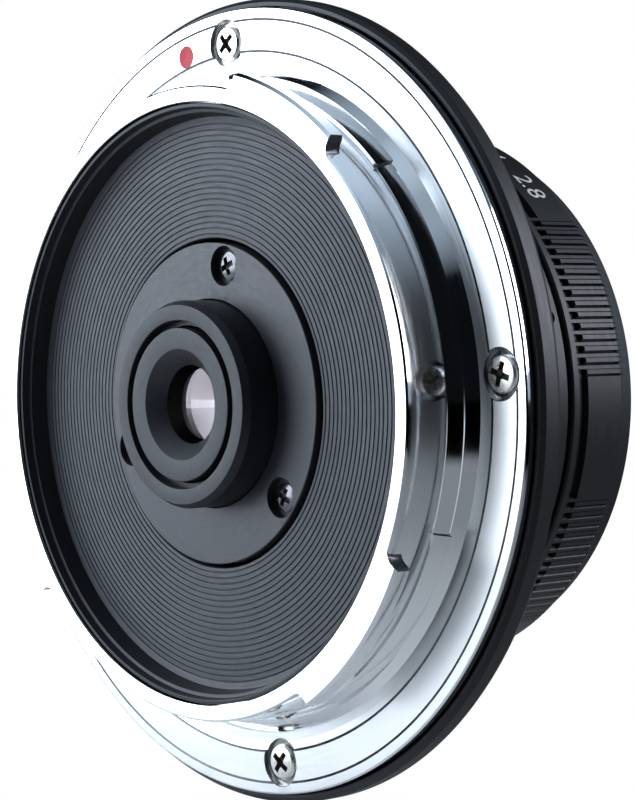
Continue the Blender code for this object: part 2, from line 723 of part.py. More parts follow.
def front_optics():
    flange, flange_z = CELL_FLANGE
    rear, front = CELL_Z
    profile = [(flange, rear), (flange, flange_z), (CELL_RADIUS, flange_z), (CELL_RADIUS, front),
               (CELL_BORE, front), (CELL_BORE, CELL_FLOOR), (CELL_HOLE, CELL_FLOOR), (CELL_HOLE, rear)]
    turned("front_cell", profile, MEDIUM, BLACK)
    turned("second_element", lens_profile(ELEMENT_RADIUS, SECOND_FACES), SMALL, GLASS)
    ring("front_spacer", ELEMENT_RADIUS, RETAINER_BORE, *SPACER_Z, SMALL, MATT)
    turned("front_element", lens_profile(ELEMENT_RADIUS, FRONT_FACES), SMALL, GLASS)
    ring("front_retainer", ELEMENT_RADIUS, RETAINER_BORE, *RETAINER_Z, SMALL, MATT)


def rear_optics():
    rear, front = REAR_BARREL_Z
    edge_in, edge_down = REAR_BARREL_EDGE
    outer = [(REAR_BARREL_RADIUS - edge_in, rear), (REAR_BARREL_RADIUS, rear - edge_down),
             (REAR_BARREL_RADIUS, PLATE_Z[1] - GAP), (REAR_BARREL_FLANGE, PLATE_Z[1] - GAP),
             (REAR_BARREL_FLANGE, front)]
    inner = [(THIRD_BORE, front), (THIRD_BORE, THIRD_SEAT), (REAR_THROAT, THIRD_SEAT), (REAR_THROAT, REAR_SEAT),
             (REAR_BORE, REAR_SEAT), (REAR_BORE, REAR_RECESS_Z), (REAR_RECESS, REAR_RECESS_Z),
             (REAR_RECESS, rear)]
    turned("rear_barrel", outer + inner, MEDIUM, BLACK)
    turned("third_element", lens_profile(THIRD_RADIUS, THIRD_FACES), SMALL, GLASS)
    ring("third_retainer", THIRD_RADIUS, THIRD_RETAINER_BORE, *THIRD_RETAINER_Z, SMALL, MATT)
    turned("rear_element", lens_profile(REAR_BORE - GAP, REAR_FACES), SMALL, GLASS)
    ring_rear, ring_front = REAR_RING_Z
    ring_mouth, ring_throat = REAR_RING_CONE
    ring_outer = [(REAR_RING_RADIUS, ring_rear), (REAR_RING_RADIUS, ring_front)]
    ring_inner = [(REAR_RING_BACK, ring_front), ring_throat, ring_mouth]
    turned("rear_retaining_ring", ring_outer + ring_inner, MEDIUM, BLACK)


def rear_plate():
    top, bottom = PLATE_Z
    piece = ring("rear_plate", PLATE_RADIUS, REAR_BARREL_RADIUS + GAP, top, bottom, FINE, BLACK)
    head_z = top - PLATE_SCREW_DEPTH
    crown_z = top - PLATE_SCREW_SUNK
    for number, angle in enumerate(PLATE_SCREW_ANGLES, 1):
        drill(piece, PLATE_SCREW_HOLE, head_z - FIT, top + OVERCUT, PLATE_SCREW_CIRCLE, angle)
        drill(piece, PLATE_SCREW_SHANK + FIT, bottom - OVERCUT, top, PLATE_SCREW_CIRCLE, angle)
        profile = [(0, crown_z), (PLATE_SCREW_HEAD, crown_z), (PLATE_SCREW_HEAD, head_z),
                   (PLATE_SCREW_SHANK, head_z), (PLATE_SCREW_SHANK, FIT), (0, FIT)]
        screw = turned(f"rear_plate_screw_{number}", profile, TINY, MATT)
        stand_at(screw, PLATE_SCREW_CIRCLE, angle)


def settle_pieces():
    """Apply every modifier, then shade each piece smooth with its corners kept sharp."""
    view = bpy.context.evaluated_depsgraph_get()
    pieces = [item for item in PARTS.objects if item.type == "MESH"]
    finished = [bpy.data.meshes.new_from_object(piece.evaluated_get(view)) for piece in pieces]
    for piece, mesh in zip(pieces, finished):
        piece.modifiers.clear()
        piece.data = mesh
        mesh.name = piece.name
        mesh.shade_smooth()
        mesh.set_sharp_from_angle(angle=radians(30))


bayonet_mount()
mount_screws()
index_dot()
mount_shim()
base_barrel()
focus_stop_pin()
rear_baffle()
guide_keys()
focus_ring()
focus_helicoid()
set_screws("focus_set_screw", HELICOID_RADII[1], FOCUS_RADIUS - SET_SCREW_SUNK, FOCUS_SCREW_Z)
lens_barrel()
index_ring()
set_screws("index_set_screw", RING_BORE - FIT, RING_RADIUS - SET_SCREW_SUNK, INDEX_SCREW_Z)
aperture_ring()
filter_ring()
name_ring()
aperture_lever()
iris_actuator()
iris_blades()
iris_housing()
iris_cover()
front_optics()
rear_optics()
rear_plate()
settle_pieces()
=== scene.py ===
"""Dressed scene of a manual prime camera lens: detailed pieces, finishes, studio light and camera.

Shapes are worked out in millimetres in the lens's own frame: x is right and y is up as seen from the rear,
z runs along the optical axis to the rear, and z = 0 is the flange seat. to_world turns that into the frame's
metres, with the rear of the lens towards +Y and up towards +Z.
"""
from math import cos, degrees, hypot, radians, sin, sqrt, tan

import bmesh
import bpy
from mathutils import Matrix, Vector


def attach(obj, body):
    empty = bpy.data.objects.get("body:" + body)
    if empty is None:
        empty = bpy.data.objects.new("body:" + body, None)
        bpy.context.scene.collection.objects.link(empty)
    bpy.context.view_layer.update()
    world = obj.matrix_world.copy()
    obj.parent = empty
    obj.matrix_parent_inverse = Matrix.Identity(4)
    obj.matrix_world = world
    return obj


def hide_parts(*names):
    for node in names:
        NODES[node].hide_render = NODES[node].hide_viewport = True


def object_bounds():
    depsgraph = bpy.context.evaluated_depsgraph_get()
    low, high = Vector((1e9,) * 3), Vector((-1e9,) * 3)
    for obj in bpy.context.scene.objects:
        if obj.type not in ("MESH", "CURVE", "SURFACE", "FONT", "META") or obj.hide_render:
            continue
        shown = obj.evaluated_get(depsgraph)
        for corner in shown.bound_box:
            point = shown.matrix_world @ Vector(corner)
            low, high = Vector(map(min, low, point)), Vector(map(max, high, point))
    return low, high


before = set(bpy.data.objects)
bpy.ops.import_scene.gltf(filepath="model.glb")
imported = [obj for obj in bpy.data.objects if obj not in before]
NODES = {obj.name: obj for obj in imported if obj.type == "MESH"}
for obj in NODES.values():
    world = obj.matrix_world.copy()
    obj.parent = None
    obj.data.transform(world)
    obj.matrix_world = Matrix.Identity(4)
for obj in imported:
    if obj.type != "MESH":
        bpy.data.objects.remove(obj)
CAD_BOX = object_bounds()

MM = 0.001
WELD = 0.0005 * MM

# Camera, as it stood for the photograph
CAMERA_PLACE = (-0.16258, 0.13471, 0.00443)
CAMERA_RIGHT = (-0.66117, -0.74986, -0.02364)
CAMERA_UP = (0.0, -0.03151, 0.99950)
CAMERA_LENS = 110.09
CAMERA_SENSOR = 36.0
CAMERA_NEAR = 0.01

# Where the studio glows: a heading from the lens, then the strength outside and inside the glow, and the
# nearness to the heading, as a cosine, at which it starts and is full. The white backdrop stands beyond the
# lens as seen from the camera, and a pale ceiling above its rear, in two overlapping parts
BACKDROP_GLOW = ((-0.34, -0.93, 0.15), (0.005, 0.5, 0.70, 0.86))
CEILING_GLOW = ((0.20, 0.60, 0.77), (0.0, 0.75, 0.84, 0.97))
SIDE_GLOW = ((-0.27, 0.60, 0.75), (0.0, 0.45, 0.91, 0.975))
GLOW_COLOUR = (0.66, 0.82, 1.0, 1)
PURE_WHITE = (1, 1, 1, 1)

# Softboxes: place, width, height, power and colour
COOL_LIGHT = (0.83, 0.92, 1.0)
SOFTBOXES = {
    "key_softbox": ((0.44, 0.425, 0.10), 0.56, 0.80, 8.0, COOL_LIGHT),
    "rim_softbox": ((-0.47, -0.43, 0.25), 0.40, 0.40, 3.8, (0.92, 0.94, 1.0)),
    "front_softbox": ((0.66, -0.40, 0.06), 0.50, 0.16, 4.5, COOL_LIGHT),
}

# Floor as light and reflections see it, with painted light and shade: tones from low to high, and where each
# starts and ends across or behind the lens; lighter towards the key softbox, darker on the camera's side and
# beyond the lens
FLOOR_REACH = 1.5
FLOOR_PAINTED_NEAR_LIGHT = (0.0, 0.30, -0.125, -0.105)
FLOOR_PAINTED_KEY_LIGHT = (0.0, 0.70, -0.055, 0.03)
FLOOR_PAINTED_SHADE_BEYOND = (0.0, 1.0, -0.09, -0.04)

# Degrees in a turn, and past which an edge is shaded sharp
FULL_TURN = 360.0
SHARP_ANGLE = 32.0

# Segments round turned pieces, along a rounded corner and over a domed head
ROUND = 256
HALF_ROUND = 128
SMALL_ROUND = 48
CORNER = 4
DOME_STEPS = 8

# How far a cutting shape stands clear of what it cuts
CLEAR = 1.0

# Rounding of turned edges, from the finest to the broadest
EDGE_HAIR = 0.02
EDGE_FINE = 0.03
EDGE_THIN = 0.04
EDGE_SMALL = 0.05
EDGE_LIGHT = 0.06
EDGE_PLAIN = 0.08
EDGE_SOFT = 0.10
EDGE_FULL = 0.12
EDGE_WIDE = 0.15
EDGE_FLANGE = 0.16
EDGE_BROAD = 0.2
EDGE_CONE = 0.3

# Bayonet mount
COLLAR_BORE = 25.5
COLLAR_Z = 6.0
COLLAR_EDGE = 26.70
COLLAR_BREAK = 0.16
CHANNEL_DEPTH = 0.3
CHANNEL_STEP = 29.25
CHANNEL_LIFT = 0.06
CHANNEL_SHELF = CHANNEL_LIFT - CHANNEL_DEPTH
COLLAR_FLARE = ((27.0, 1.9), (27.6, 0.6), (28.5, -CHANNEL_DEPTH))
FLARE_LEDGE = 0.10
FLARE_LIP = 0.03
SEAT_INNER = 29.94
SEAT_LINES = (30.06, 32.75)
SEAT_LINE_HALF = 0.11
FLANGE_RADIUS = 33.75
FLANGE_THICKNESS = 1.5
LEDGE_RADIUS = 24.9
LEDGE_Z = 2.25

# Bayonet lugs, with a raised pad on the collar under each
LUG_RADIUS = 28.25
LUG_BEVEL = 0.26
LUG_END_BEVEL = 0.03
LUG_HOLLOW = 1.2
LUG_HOLLOW_STEPS = 10
LUG_STEPS = 40
LUG_NOSE = 0.4
LUG_ROOT = 26.3
LUG_BOTTOM = 4.5
LUG_ARCS = ((48.6, 75.4), (180.0, 217.5), (300.6, 333.2))
PAD_RAISE = 0.32
PAD_MARGIN = 4.6
PAD_SINK = 0.1
PAD_STEPS = 48
SLIVER = 0.004

# How a face of the mount points, to choose its finish: level, sloping as the seat lines do, or sideways
LEVEL = 0.99
SLOPE = (0.6, 0.8)
SIDEWAYS = 0.3

# Cross recesses: how each bar of the cross tapers, and the pit in its middle as shares of a bar's width
CROSS_TAPER = 0.7
PIT_MOUTH = 0.95
PIT_FLOOR = 0.35

# Mount screws, whose cross is given as the width, length, top and bottom of its bars
SCREW_CIRCLE = 31.0
SCREW_ANGLES = (92.2, 4.0, -83.0, 184.0)
SCREW_TURNS = (41.0, 72.0, 54.0, 50.0)
SCREW_HEAD = 1.52
SCREW_CROWN = 0.02
SCREW_DROP = 0.16
SCREW_CURVE = 3
SCREW_DOME = 0.9
SCREW_EDGE = -0.26
SCREW_UNDER = -0.5
SCREW_SHANK = 0.8
SCREW_TIP = -3.2
SCREW_CROSS = (0.56, 2.3, 0.3, -0.5)
SCREW_PIT = 0.15
SCREW_RECESS = 2.06
SCREW_RECESS_BREAK = 0.06
SCREW_RECESS_DRAFT = 0.05
SCREW_RECESS_DEPTH = 0.55
SCREW_HOLE = 1.0

# Index dot, dished: shares of its radius, and heights
DOT_CIRCLE = 31.1
DOT_ANGLE = 102.4
DOT_RADIUS = 0.97
DOT_GAP = 0.03
DOT_BOTTOM = -0.4
DOT_DISH = ((0.0, -0.10), (0.5, -0.08), (0.85, -0.02), (1.0, 0.0))

# Base barrel
BASE_RADIUS = 34.6
BASE_RECESS = 33.9
BASE_RIM = -0.9
BASE_BREAK = 0.35
BASE_FRONT = -4.2
BASE_SHOULDER = BASE_FRONT + 1.6
BASE_STEP = (BASE_RADIUS - 0.3, BASE_FRONT + 1.1)
BASE_FACE = BASE_RADIUS - 2
BASE_FLOOR = -1.95
NECK_RADIUS = 24.3
NECK_BORE = 23.4
NECK_Z = -9.2

# Rear baffle
BAFFLE_RADIUS = 25.4
BAFFLE_WALL = 24.4
BAFFLE_TOP = 5.7
BAFFLE_LIP = BAFFLE_RADIUS - 0.35
BAFFLE_LIP_FOOT = (BAFFLE_RADIUS - 0.45, BAFFLE_TOP - 0.7)
BAFFLE_LEDGE = (BAFFLE_RADIUS - 0.75, BAFFLE_TOP - 0.75)
BAFFLE_FACE = 3.3
BAFFLE_FOOT = BAFFLE_FACE + 0.1
BAFFLE_UNDER = 2.35
BAFFLE_HOLE = 14.1
GROOVE_FIRST = 14.45
GROOVE_PITCH = 0.49
GROOVE_COUNT = 20
GROOVE_HALF = 0.075
GROOVE_FLOOR_HALF = 0.03
GROOVE_DEPTH = 0.11

# Rear plate and its screws
PLATE_RADIUS = 13.73
PLATE_TOP = 3.68
PLATE_BOTTOM = 2.48
PLATE_HOLE = 8.9
PLATE_SCREW_CIRCLE = 11.85
PLATE_SCREW_ANGLES = (79.0, 199.0, -41.0)
PLATE_SCREW_TURNS = (20.0, 40.0, 65.0)
PLATE_SCREW_HEAD = 1.2
PLATE_SCREW_HOLE = 1.68
PLATE_SCREW_BREAK = 0.04
PLATE_SCREW_CROWN = 3.34
PLATE_SCREW_DROP = 0.16
PLATE_SCREW_CURVE = 2.4
PLATE_SCREW_SEAT = 2.88
PLATE_SCREW_SHANK = 0.45
PLATE_SCREW_TIP = 0.1
PLATE_SCREW_CROSS = (0.60, 1.95, PLATE_TOP + 0.3, PLATE_TOP - 0.75)
PLATE_SCREW_PIT = 0.1

# Rear barrel and its retaining ring
REAR_RADIUS = 8.8
REAR_FACE = 8.42
REAR_SHOULDER = 6.42
REAR_FLANGE = 9.3
REAR_FLANGE_Z = PLATE_BOTTOM - 0.3
REAR_END = 7.08
REAR_FRONT = -8.0
REAR_RECESS = 7.12
REAR_RECESS_Z = 6.0
REAR_BORE = 6.7
REAR_SEAT_Z = 2.8
REAR_THROAT = 5.6
THIRD_POCKET = 7.5
THIRD_SEAT_Z = -3.9
RETAINER_RADIUS = REAR_BORE - 0.2
RETAINER_TOP = REAR_END - 0.03
RETAINER_MOUTH = (4.72, REAR_END - 0.1)
RETAINER_THROAT = (3.3, 5.65)
RETAINER_FOOT = 5.4
RETAINER_BOTTOM = 5.1

# Glass: radius, rear vertex and how far that face falls back, front vertex and how far that face falls back
ELEMENT_STEPS = 16
REAR_ELEMENT = (REAR_BORE - 0.3, 5.3, 1.5, 3.0, 0.0)
THIRD_ELEMENT = (7.2, -4.1, 0.5, -6.9, -0.3)
SECOND_ELEMENT = (7.9, -14.75, 0.0, -15.6, -0.6)
FRONT_ELEMENT = (7.9, -17.4, -0.35, -19.2, 1.0)

# Focus ring: its ribs as shares of their pitch, each with the depth of the cut there
FOCUS_RADIUS = 26.4
FOCUS_BORE = 24.6
FOCUS_Z = (-4.5, -10.9)
FOCUS_CHAMFER = 0.5
FOCUS_BAND = 1.2
FOCUS_RIB_END = 1.35
FOCUS_RIBS = 90
FOCUS_RIB_STOPS = ((0.0, 0.0), (0.5, 0.0), (0.6, 0.35), (0.9, 0.35))

# Index ring and its mark
RING_RADIUS = 24.1
RING_BORE = 21.9
INDEX_Z = (-11.3, -15.1)
MARK_HALF = 0.18
MARK_SINK = 0.1
MARK_RAISE = 0.02
MARK_MARGINS = (1.0, 0.3)
MARK_STEPS = 4

# Set screws of the focus ring and the index ring
SET_SCREW_RADIUS = 0.5
SET_SCREW_HOLE = 0.6
SET_SCREW_MOUTH = 0.75
SET_SCREW_FLARE = 0.1
SET_SCREW_SINK = 0.5
SET_SCREW_ANGLES = (16.0, 136.0, 256.0)
FOCUS_SCREW_Z = -10.2
FOCUS_SCREW_TIP = 23.1
INDEX_SCREW_Z = -14.0
INDEX_SCREW_TIP = RING_BORE - 0.1
SLOT_WIDTH = 0.22
SLOT_LENGTH = 2.0
SLOT_TOP = 0.2
SLOT_DEPTH = 0.35

# Aperture ring, with its groove, grip and rounded nose
APERTURE_REAR = -15.7
APERTURE_BREAK = 0.15
APERTURE_LIP = -16.5
APERTURE_GROOVE = -17.5
APERTURE_GROOVE_FLOOR = RING_RADIUS - 0.5
APERTURE_GRIP = -21.7
APERTURE_FRONT = -24.4
APERTURE_FRONT_RADIUS = 22.8
APERTURE_COUNTERBORE = 22.6
APERTURE_STEP = -22.4
NOSE_REAR = (APERTURE_FRONT_RADIUS + 0.9, APERTURE_GRIP - 0.8)
NOSE_FRONT = (APERTURE_FRONT_RADIUS + 0.1, APERTURE_FRONT + 0.15)
NOSE_EDGE = APERTURE_FRONT_RADIUS - 0.05
GRIP_RISE = 0.05
GRIP_RUN = 0.1
GRIP_END = 0.6

# Ribs of the aperture ring: angles from the start of a pair, depth of the grip, and whether a rib bridges the
# groove behind the grip
RIB_GROUPS = (39.0, -21.0, -81.0, -141.0, 159.0)
RIB_GROUP_PITCH = 60.0
RIB_PAIRS = 15
RIB_PITCH = 2.35
RIB_THIN = 0.22
RIB_THICK = 0.45
RIB_STOPS = ((0.12, 0, 1), (0.80, 0, 1), (0.84, RIB_THIN, 0), (0.96, RIB_THIN, 0),
             (1.00, 0, 0), (1.82, 0, 0), (1.86, RIB_THICK, 0), (1.94, RIB_THICK, 0))
RIB_RAMP = 0.04
PLAIN_STEP = 1.5

# Numbers of the aperture ring
NUMBER_Z = -19.5
NUMBER_FIRST = 48.6
NUMBER_STEP = 12.0
NUMBER_SIZE = 2.75
NUMBER_HALF_DEPTH = 0.05
NUMBER_SINK = 0.03
APERTURE_NUMBERS = ("2.8", "4", "5.6", "8", "11", "16")

# Filter ring
FILTER_REAR = -20.6
FILTER_FRONT = -25.0
FILTER_WEB = (-22.7, -23.3)
FILTER_TENON = 20.1
FILTER_BORE = 19.0
FILTER_RIM = 22.3
FILTER_MOUTH = 20.6
THREAD_CREST = 20.5
THREAD_ROOT = 20.75
THREAD_START = 0.2
THREAD_PITCH = 0.36
THREAD_TURNS = 4

# Name ring: a ridged cone between its shoulder and its hole
NAME_RADIUS = 18.8
NAME_REAR = -20.9
NAME_FRONT = -22.6
NAME_SHOULDER = 17.9
NAME_CONE_FRONT = -22.55
NAME_CONE_DEPTH = 2.1
NAME_CONE_END = 8.9
NAME_RIDGES = 14
NAME_RIDGE_OUT = (0.1, -0.05)
NAME_RIDGE_BACK = 0.1
NAME_HOLE = 8.3
NAME_HOLE_Z = (-20.4, -19.8)

# Noise of the finishes: how fine it is per metre, how often turning lines break on the way round, the values
# between which most of it lies, and the depths of bumps in metres
TURNING_LINES = 9000.0
CHROME_WRAP = 8.0
ANODISED_WRAP = 12.0
METAL_WRAP = 20.0
CHROME_CLOUD = 220.0
NICKEL_CLOUD = 1800.0
NICKEL_GRAIN = 6000.0
ENAMEL_CLOUD = 2500.0
ANODISED_SPECK = 14000.0
GLASS_HAZE = 900.0
COARSE_DETAIL = 2.0
FINE_DETAIL = 3.0
NOISE_LOW = 0.3
NOISE_HIGH = 0.7
SHALLOW_BUMP = 0.00001
BUMP = 0.00002
DEEP_BUMP = 0.00003

# Sockets of a colour mixing node, by number because their names repeat
MIX_AMOUNT = 0
MIX_FIRST = 6
MIX_SECOND = 7
MIX_RESULT = 2

# How far the roughness of each finish wanders
CHROME_WANDER = 0.04
ENAMEL_WANDER = 0.12
METAL_WANDER = 0.15
ANODISED_WANDER = (0.05, 0.08)
NICKEL_ROUGHNESS = (0.22, 0.36)
GLASS_ROUGHNESS = (0.0, 0.02)

# Colours and index of the finishes that are made once
CHROME_TINTS = ((0.84, 0.85, 0.87), (0.91, 0.92, 0.93))
NICKEL_TINTS = ((0.84, 0.82, 0.77), (0.94, 0.92, 0.88))
ANODISED_SHINE = (0.90, 0.92, 1.0, 1)
GLASS_BODY = (0.97, 0.97, 0.98, 1)
GLASS_INDEX = 1.62


def to_world(x, y, z):
    return Vector((-x, z, y)) * MM


def polar(radius, angle):
    return radius * cos(radians(angle)), radius * sin(radians(angle))


# Shapes

def rounded(corners):
    """Profile with its corners rounded: each corner is (radius, z) or (radius, z, rounding)."""
    profile = []
    for k, (r, z, *rounding) in enumerate(corners):
        if not rounding:
            profile.append((r, z))
            continue
        corner = Vector((r, z))
        before = (Vector(corners[k - 1][:2]) - corner).normalized()
        after = (Vector(corners[(k + 1) % len(corners)][:2]) - corner).normalized()
        half = before.angle(after) / 2
        centre = corner + (before + after).normalized() * rounding[0] / sin(half)
        start = corner + before * rounding[0] / tan(half) - centre
        turn = start.angle_signed(corner + after * rounding[0] / tan(half) - centre)
        for step in range(CORNER + 1):
            spoke = start.copy()
            spoke.rotate(Matrix.Rotation(-turn * step / CORNER, 2))
            profile.append(tuple(centre + spoke))
    return profile


def loft(columns, whole=True):
    """Points and faces through closed sections, the last joined to the first or both ends capped."""
    rows = len(columns[0])
    count = len(columns)
    points = [point for column in columns for point in column]
    faces = []
    for k in range(count if whole else count - 1):
        near = k * rows
        far = (k + 1) % count * rows
        for row in range(rows):
            after = (row + 1) % rows
            faces.append((near + row, far + row, far + after, near + after))
    if not whole:
        faces.append(tuple(range(rows)))
        faces.append(tuple(range(count * rows - rows, count * rows)))
    return points, faces


def upright(profile, angle):
    """A profile of radii and heights stood up at an angle round the axis."""
    return [(*polar(radius, angle), z) for radius, z in profile]


def lathe(profile, steps=ROUND, start=0.0, sweep=FULL_TURN):
    """A profile turned about the axis, capped where it stops short of a circle."""
    whole = sweep >= FULL_TURN
    stops = range(steps if whole else steps + 1)
    return loft([upright(profile, start + sweep * stop / steps) for stop in stops], whole)


def dome(radius, crown, drop, curve, reach=1.0):
    """Upper profile of a domed head from its middle, out to a share of its radius."""
    profile = []
    for k in range(DOME_STEPS + 1):
        share = reach * k / DOME_STEPS
        profile.append((radius * share, crown - drop * share ** curve))
    return profile


def bar(width, length, top, bottom, taper):
    """A bar across the axis whose lower end is narrower, for cutting a cross or a slot."""
    points = []
    for z, scale in ((top, 1.0), (bottom, taper)):
        x = length / 2 * scale
        y = width / 2 * scale
        points += [(-x, -y, z), (x, -y, z), (x, y, z), (-x, y, z)]
    faces = [(0, 1, 2, 3), (7, 6, 5, 4)]
    for k in range(4):
        after = (k + 1) % 4
        faces.append((k, k + 4, after + 4, after))
    return points, faces


def stand_at(shape, radius, angle, turn=0.0):
    """Turn an upright shape about itself and move it out to a place on a circle."""
    points, faces = shape
    x0, y0 = polar(radius, angle)
    c, s = polar(1.0, turn)
    return [(x0 + x * c - y * s, y0 + x * s + y * c, z) for x, y, z in points], faces


def point_outward(shape, angle, height):
    """Lay an upright shape along a radius at a height on the axis, so that its z becomes a radius."""
    points, faces = shape
    c, s = polar(1.0, angle)
    return [(z * c - y * s, z * s + y * c, height - x) for x, y, z in points], faces


# Building and dressing pieces

def weld(mesh):
    """Join points that meet, drop faces with no area, and point the rest outwards."""
    work = bmesh.new()
    work.from_mesh(mesh)
    bmesh.ops.remove_doubles(work, verts=work.verts, dist=WELD)
    bmesh.ops.dissolve_degenerate(work, edges=work.edges, dist=WELD)
    bmesh.ops.recalc_face_normals(work, faces=work.faces)
    work.to_mesh(mesh)
    work.free()


def solid(name, shape):
    points, faces = shape
    mesh = bpy.data.meshes.new(name)
    mesh.from_pydata([to_world(*point) for point in points], [], faces)
    weld(mesh)
    piece = bpy.data.objects.new(name, mesh)
    bpy.context.scene.collection.objects.link(piece)
    return piece


def carve(piece, shapes, operation="DIFFERENCE", finish=None):
    """Cut shapes from a piece, or fuse them to it, and keep the result; the cut faces may have a finish."""
    tools = [solid("tool", shape) for shape in shapes]
    for tool in tools:
        step = piece.modifiers.new("carve", "BOOLEAN")
        step.object = tool
        step.operation = operation
        step.solver = "EXACT"
        if finish:
            tool.data.materials.append(finish)
            step.material_mode = "TRANSFER"
    view = bpy.context.evaluated_depsgraph_get()
    carved = bpy.data.meshes.new_from_object(piece.evaluated_get(view))
    weld(carved)
    piece.modifiers.clear()
    piece.data = carved
    carved.name = piece.name
    for tool in tools:
        bpy.data.objects.remove(tool, do_unlink=True)


def dress(piece, finish, slot, body, *nodes):
    """Give a piece its material and smooth shading, and set it on its body in place of its nodes."""
    if not piece.data.materials:
        piece.data.materials.append(finish)
    piece.data.shade_smooth()
    piece.data.set_sharp_from_angle(angle=radians(SHARP_ANGLE))
    even = piece.modifiers.new("even_normals", "WEIGHTED_NORMAL")
    even.keep_sharp = True
    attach(piece, body)
    if nodes:
        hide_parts(*nodes)


def add_finish(piece, finish):
    """Add a material to a piece, for some of its faces, and say which index it has."""
    piece.data.materials.append(finish)
    return len(piece.data.materials) - 1


# Materials

def new_material(name):
    made = bpy.data.materials.new(name)
    made.use_nodes = True
    return made, made.node_tree, made.node_tree.nodes["Principled BSDF"]


def node(tree, kind, inputs=(), **settings):
    """A node with its settings, and its inputs joined to sockets or set to values."""
    made = tree.nodes.new("ShaderNode" + kind)
    for key, value in settings.items():
        setattr(made, key, value)
    for name, value in dict(inputs).items():
        if isinstance(value, bpy.types.NodeSocket):
            tree.links.new(value, made.inputs[name])
        else:
            made.inputs[name].default_value = value
    return made


def combine(tree, operation, first, second):
    return node(tree, "Math", {0: first, 1: second}, operation=operation).outputs[0]


def object_coords(tree):
    return node(tree, "TexCoord").outputs["Object"]


def turned_noise(tree, wrap):
    """Noise drawn out round the optical axis, as a lathe or a polishing wheel leaves it."""
    split = node(tree, "SeparateXYZ", {0: object_coords(tree)})
    across = split.outputs["X"]
    along = split.outputs["Y"]
    up = split.outputs["Z"]
    flat = node(tree, "CombineXYZ", {"X": across, "Z": up}).outputs[0]
    radius = node(tree, "VectorMath", {0: flat}, operation="LENGTH").outputs["Value"]
    place = node(tree, "CombineXYZ", {
        "X": combine(tree, "MULTIPLY", radius, TURNING_LINES),
        "Y": combine(tree, "MULTIPLY", along, TURNING_LINES),
        "Z": combine(tree, "MULTIPLY", combine(tree, "DIVIDE", across, radius), wrap)})
    turn = combine(tree, "MULTIPLY", combine(tree, "DIVIDE", up, radius), wrap)
    inputs = {"Vector": place.outputs[0], "W": turn, "Scale": 1.0, "Detail": COARSE_DETAIL}
    return node(tree, "TexNoise", inputs, noise_dimensions="4D").outputs["Fac"]


def grain(tree, scale, detail=FINE_DETAIL):
    inputs = {"Vector": object_coords(tree), "Scale": scale, "Detail": detail}
    return node(tree, "TexNoise", inputs).outputs["Fac"]


def between(tree, value, low, high, start=NOISE_LOW, end=NOISE_HIGH):
    """A tone that runs from low to high while a value runs from start to end."""
    return node(tree, "MapRange", {"Value": value, "From Min": start, "From Max": end,
                                   "To Min": low, "To Max": high}).outputs["Result"]


def blend_colour(tree, amount, first, second):
    inputs = {MIX_AMOUNT: amount, MIX_FIRST: (*first, 1), MIX_SECOND: (*second, 1)}
    return node(tree, "Mix", inputs, data_type="RGBA").outputs[MIX_RESULT]


def set_bump(tree, shader, *layers):
    """Stack bump layers, each a height, a strength and a depth in metres."""
    normal = None
    for height, strength, depth in layers:
        inputs = {"Height": height, "Strength": strength, "Distance": depth}
        if normal:
            inputs["Normal"] = normal
        normal = node(tree, "Bump", inputs).outputs[0]
    tree.links.new(normal, shader.inputs["Normal"])


def chrome_finish(name, roughness, lines_strength):
    """Chrome plating over fine turning lines, with a faint cloud of colour."""
    made, tree, shader = new_material(name)
    lines = turned_noise(tree, CHROME_WRAP)
    cloud = grain(tree, CHROME_CLOUD)
    rough = between(tree, lines, roughness - CHROME_WANDER, roughness + CHROME_WANDER)
    tree.links.new(blend_colour(tree, cloud, *CHROME_TINTS), shader.inputs["Base Color"])
    tree.links.new(rough, shader.inputs["Roughness"])
    shader.inputs["Metallic"].default_value = 1.0
    set_bump(tree, shader, (lines, lines_strength, SHALLOW_BUMP))
    return made


def nickel_finish(name, grain_strength):
    made, tree, shader = new_material(name)
    cloud = grain(tree, NICKEL_CLOUD)
    tree.links.new(blend_colour(tree, cloud, *NICKEL_TINTS), shader.inputs["Base Color"])
    tree.links.new(between(tree, cloud, *NICKEL_ROUGHNESS), shader.inputs["Roughness"])
    shader.inputs["Metallic"].default_value = 1.0
    set_bump(tree, shader, (grain(tree, NICKEL_GRAIN), grain_strength, BUMP))
    return made


def enamel_finish(name, dark, light, roughness, grain_strength=0.15):
    made, tree, shader = new_material(name)
    cloud = grain(tree, ENAMEL_CLOUD)
    tree.links.new(blend_colour(tree, cloud, dark, light), shader.inputs["Base Color"])
    tree.links.new(between(tree, cloud, roughness, roughness + ENAMEL_WANDER), shader.inputs["Roughness"])
    set_bump(tree, shader, (cloud, grain_strength, DEEP_BUMP))
    return made


def anodised_finish(name, dark, light, roughness, sheen, lines_strength, grain_strength):
    """Black anodised metal: fine turning lines under a fine dry grain."""
    made, tree, shader = new_material(name)
    lines = turned_noise(tree, ANODISED_WRAP)
    speck = grain(tree, ANODISED_SPECK, COARSE_DETAIL)
    smoother, rougher = ANODISED_WANDER
    tree.links.new(blend_colour(tree, speck, dark, light), shader.inputs["Base Color"])
    rough = between(tree, lines, roughness - smoother, roughness + rougher)
    tree.links.new(rough, shader.inputs["Roughness"])
    shader.inputs["Specular IOR Level"].default_value = sheen
    shader.inputs["Specular Tint"].default_value = ANODISED_SHINE
    set_bump(tree, shader, (lines, lines_strength, BUMP), (speck, grain_strength, BUMP))
    return made


def metal_finish(name, dark, light, roughness, lines_strength=0.15):
    """Plain turned metal, for the working parts, and for cuts in the plating, where it is darker as painted
    shade.
    """
    made, tree, shader = new_material(name)
    lines = turned_noise(tree, METAL_WRAP)
    tree.links.new(blend_colour(tree, lines, dark, light), shader.inputs["Base Color"])
    tree.links.new(between(tree, lines, roughness, roughness + METAL_WANDER), shader.inputs["Roughness"])
    shader.inputs["Metallic"].default_value = 1.0
    set_bump(tree, shader, (lines, lines_strength, BUMP))
    return made


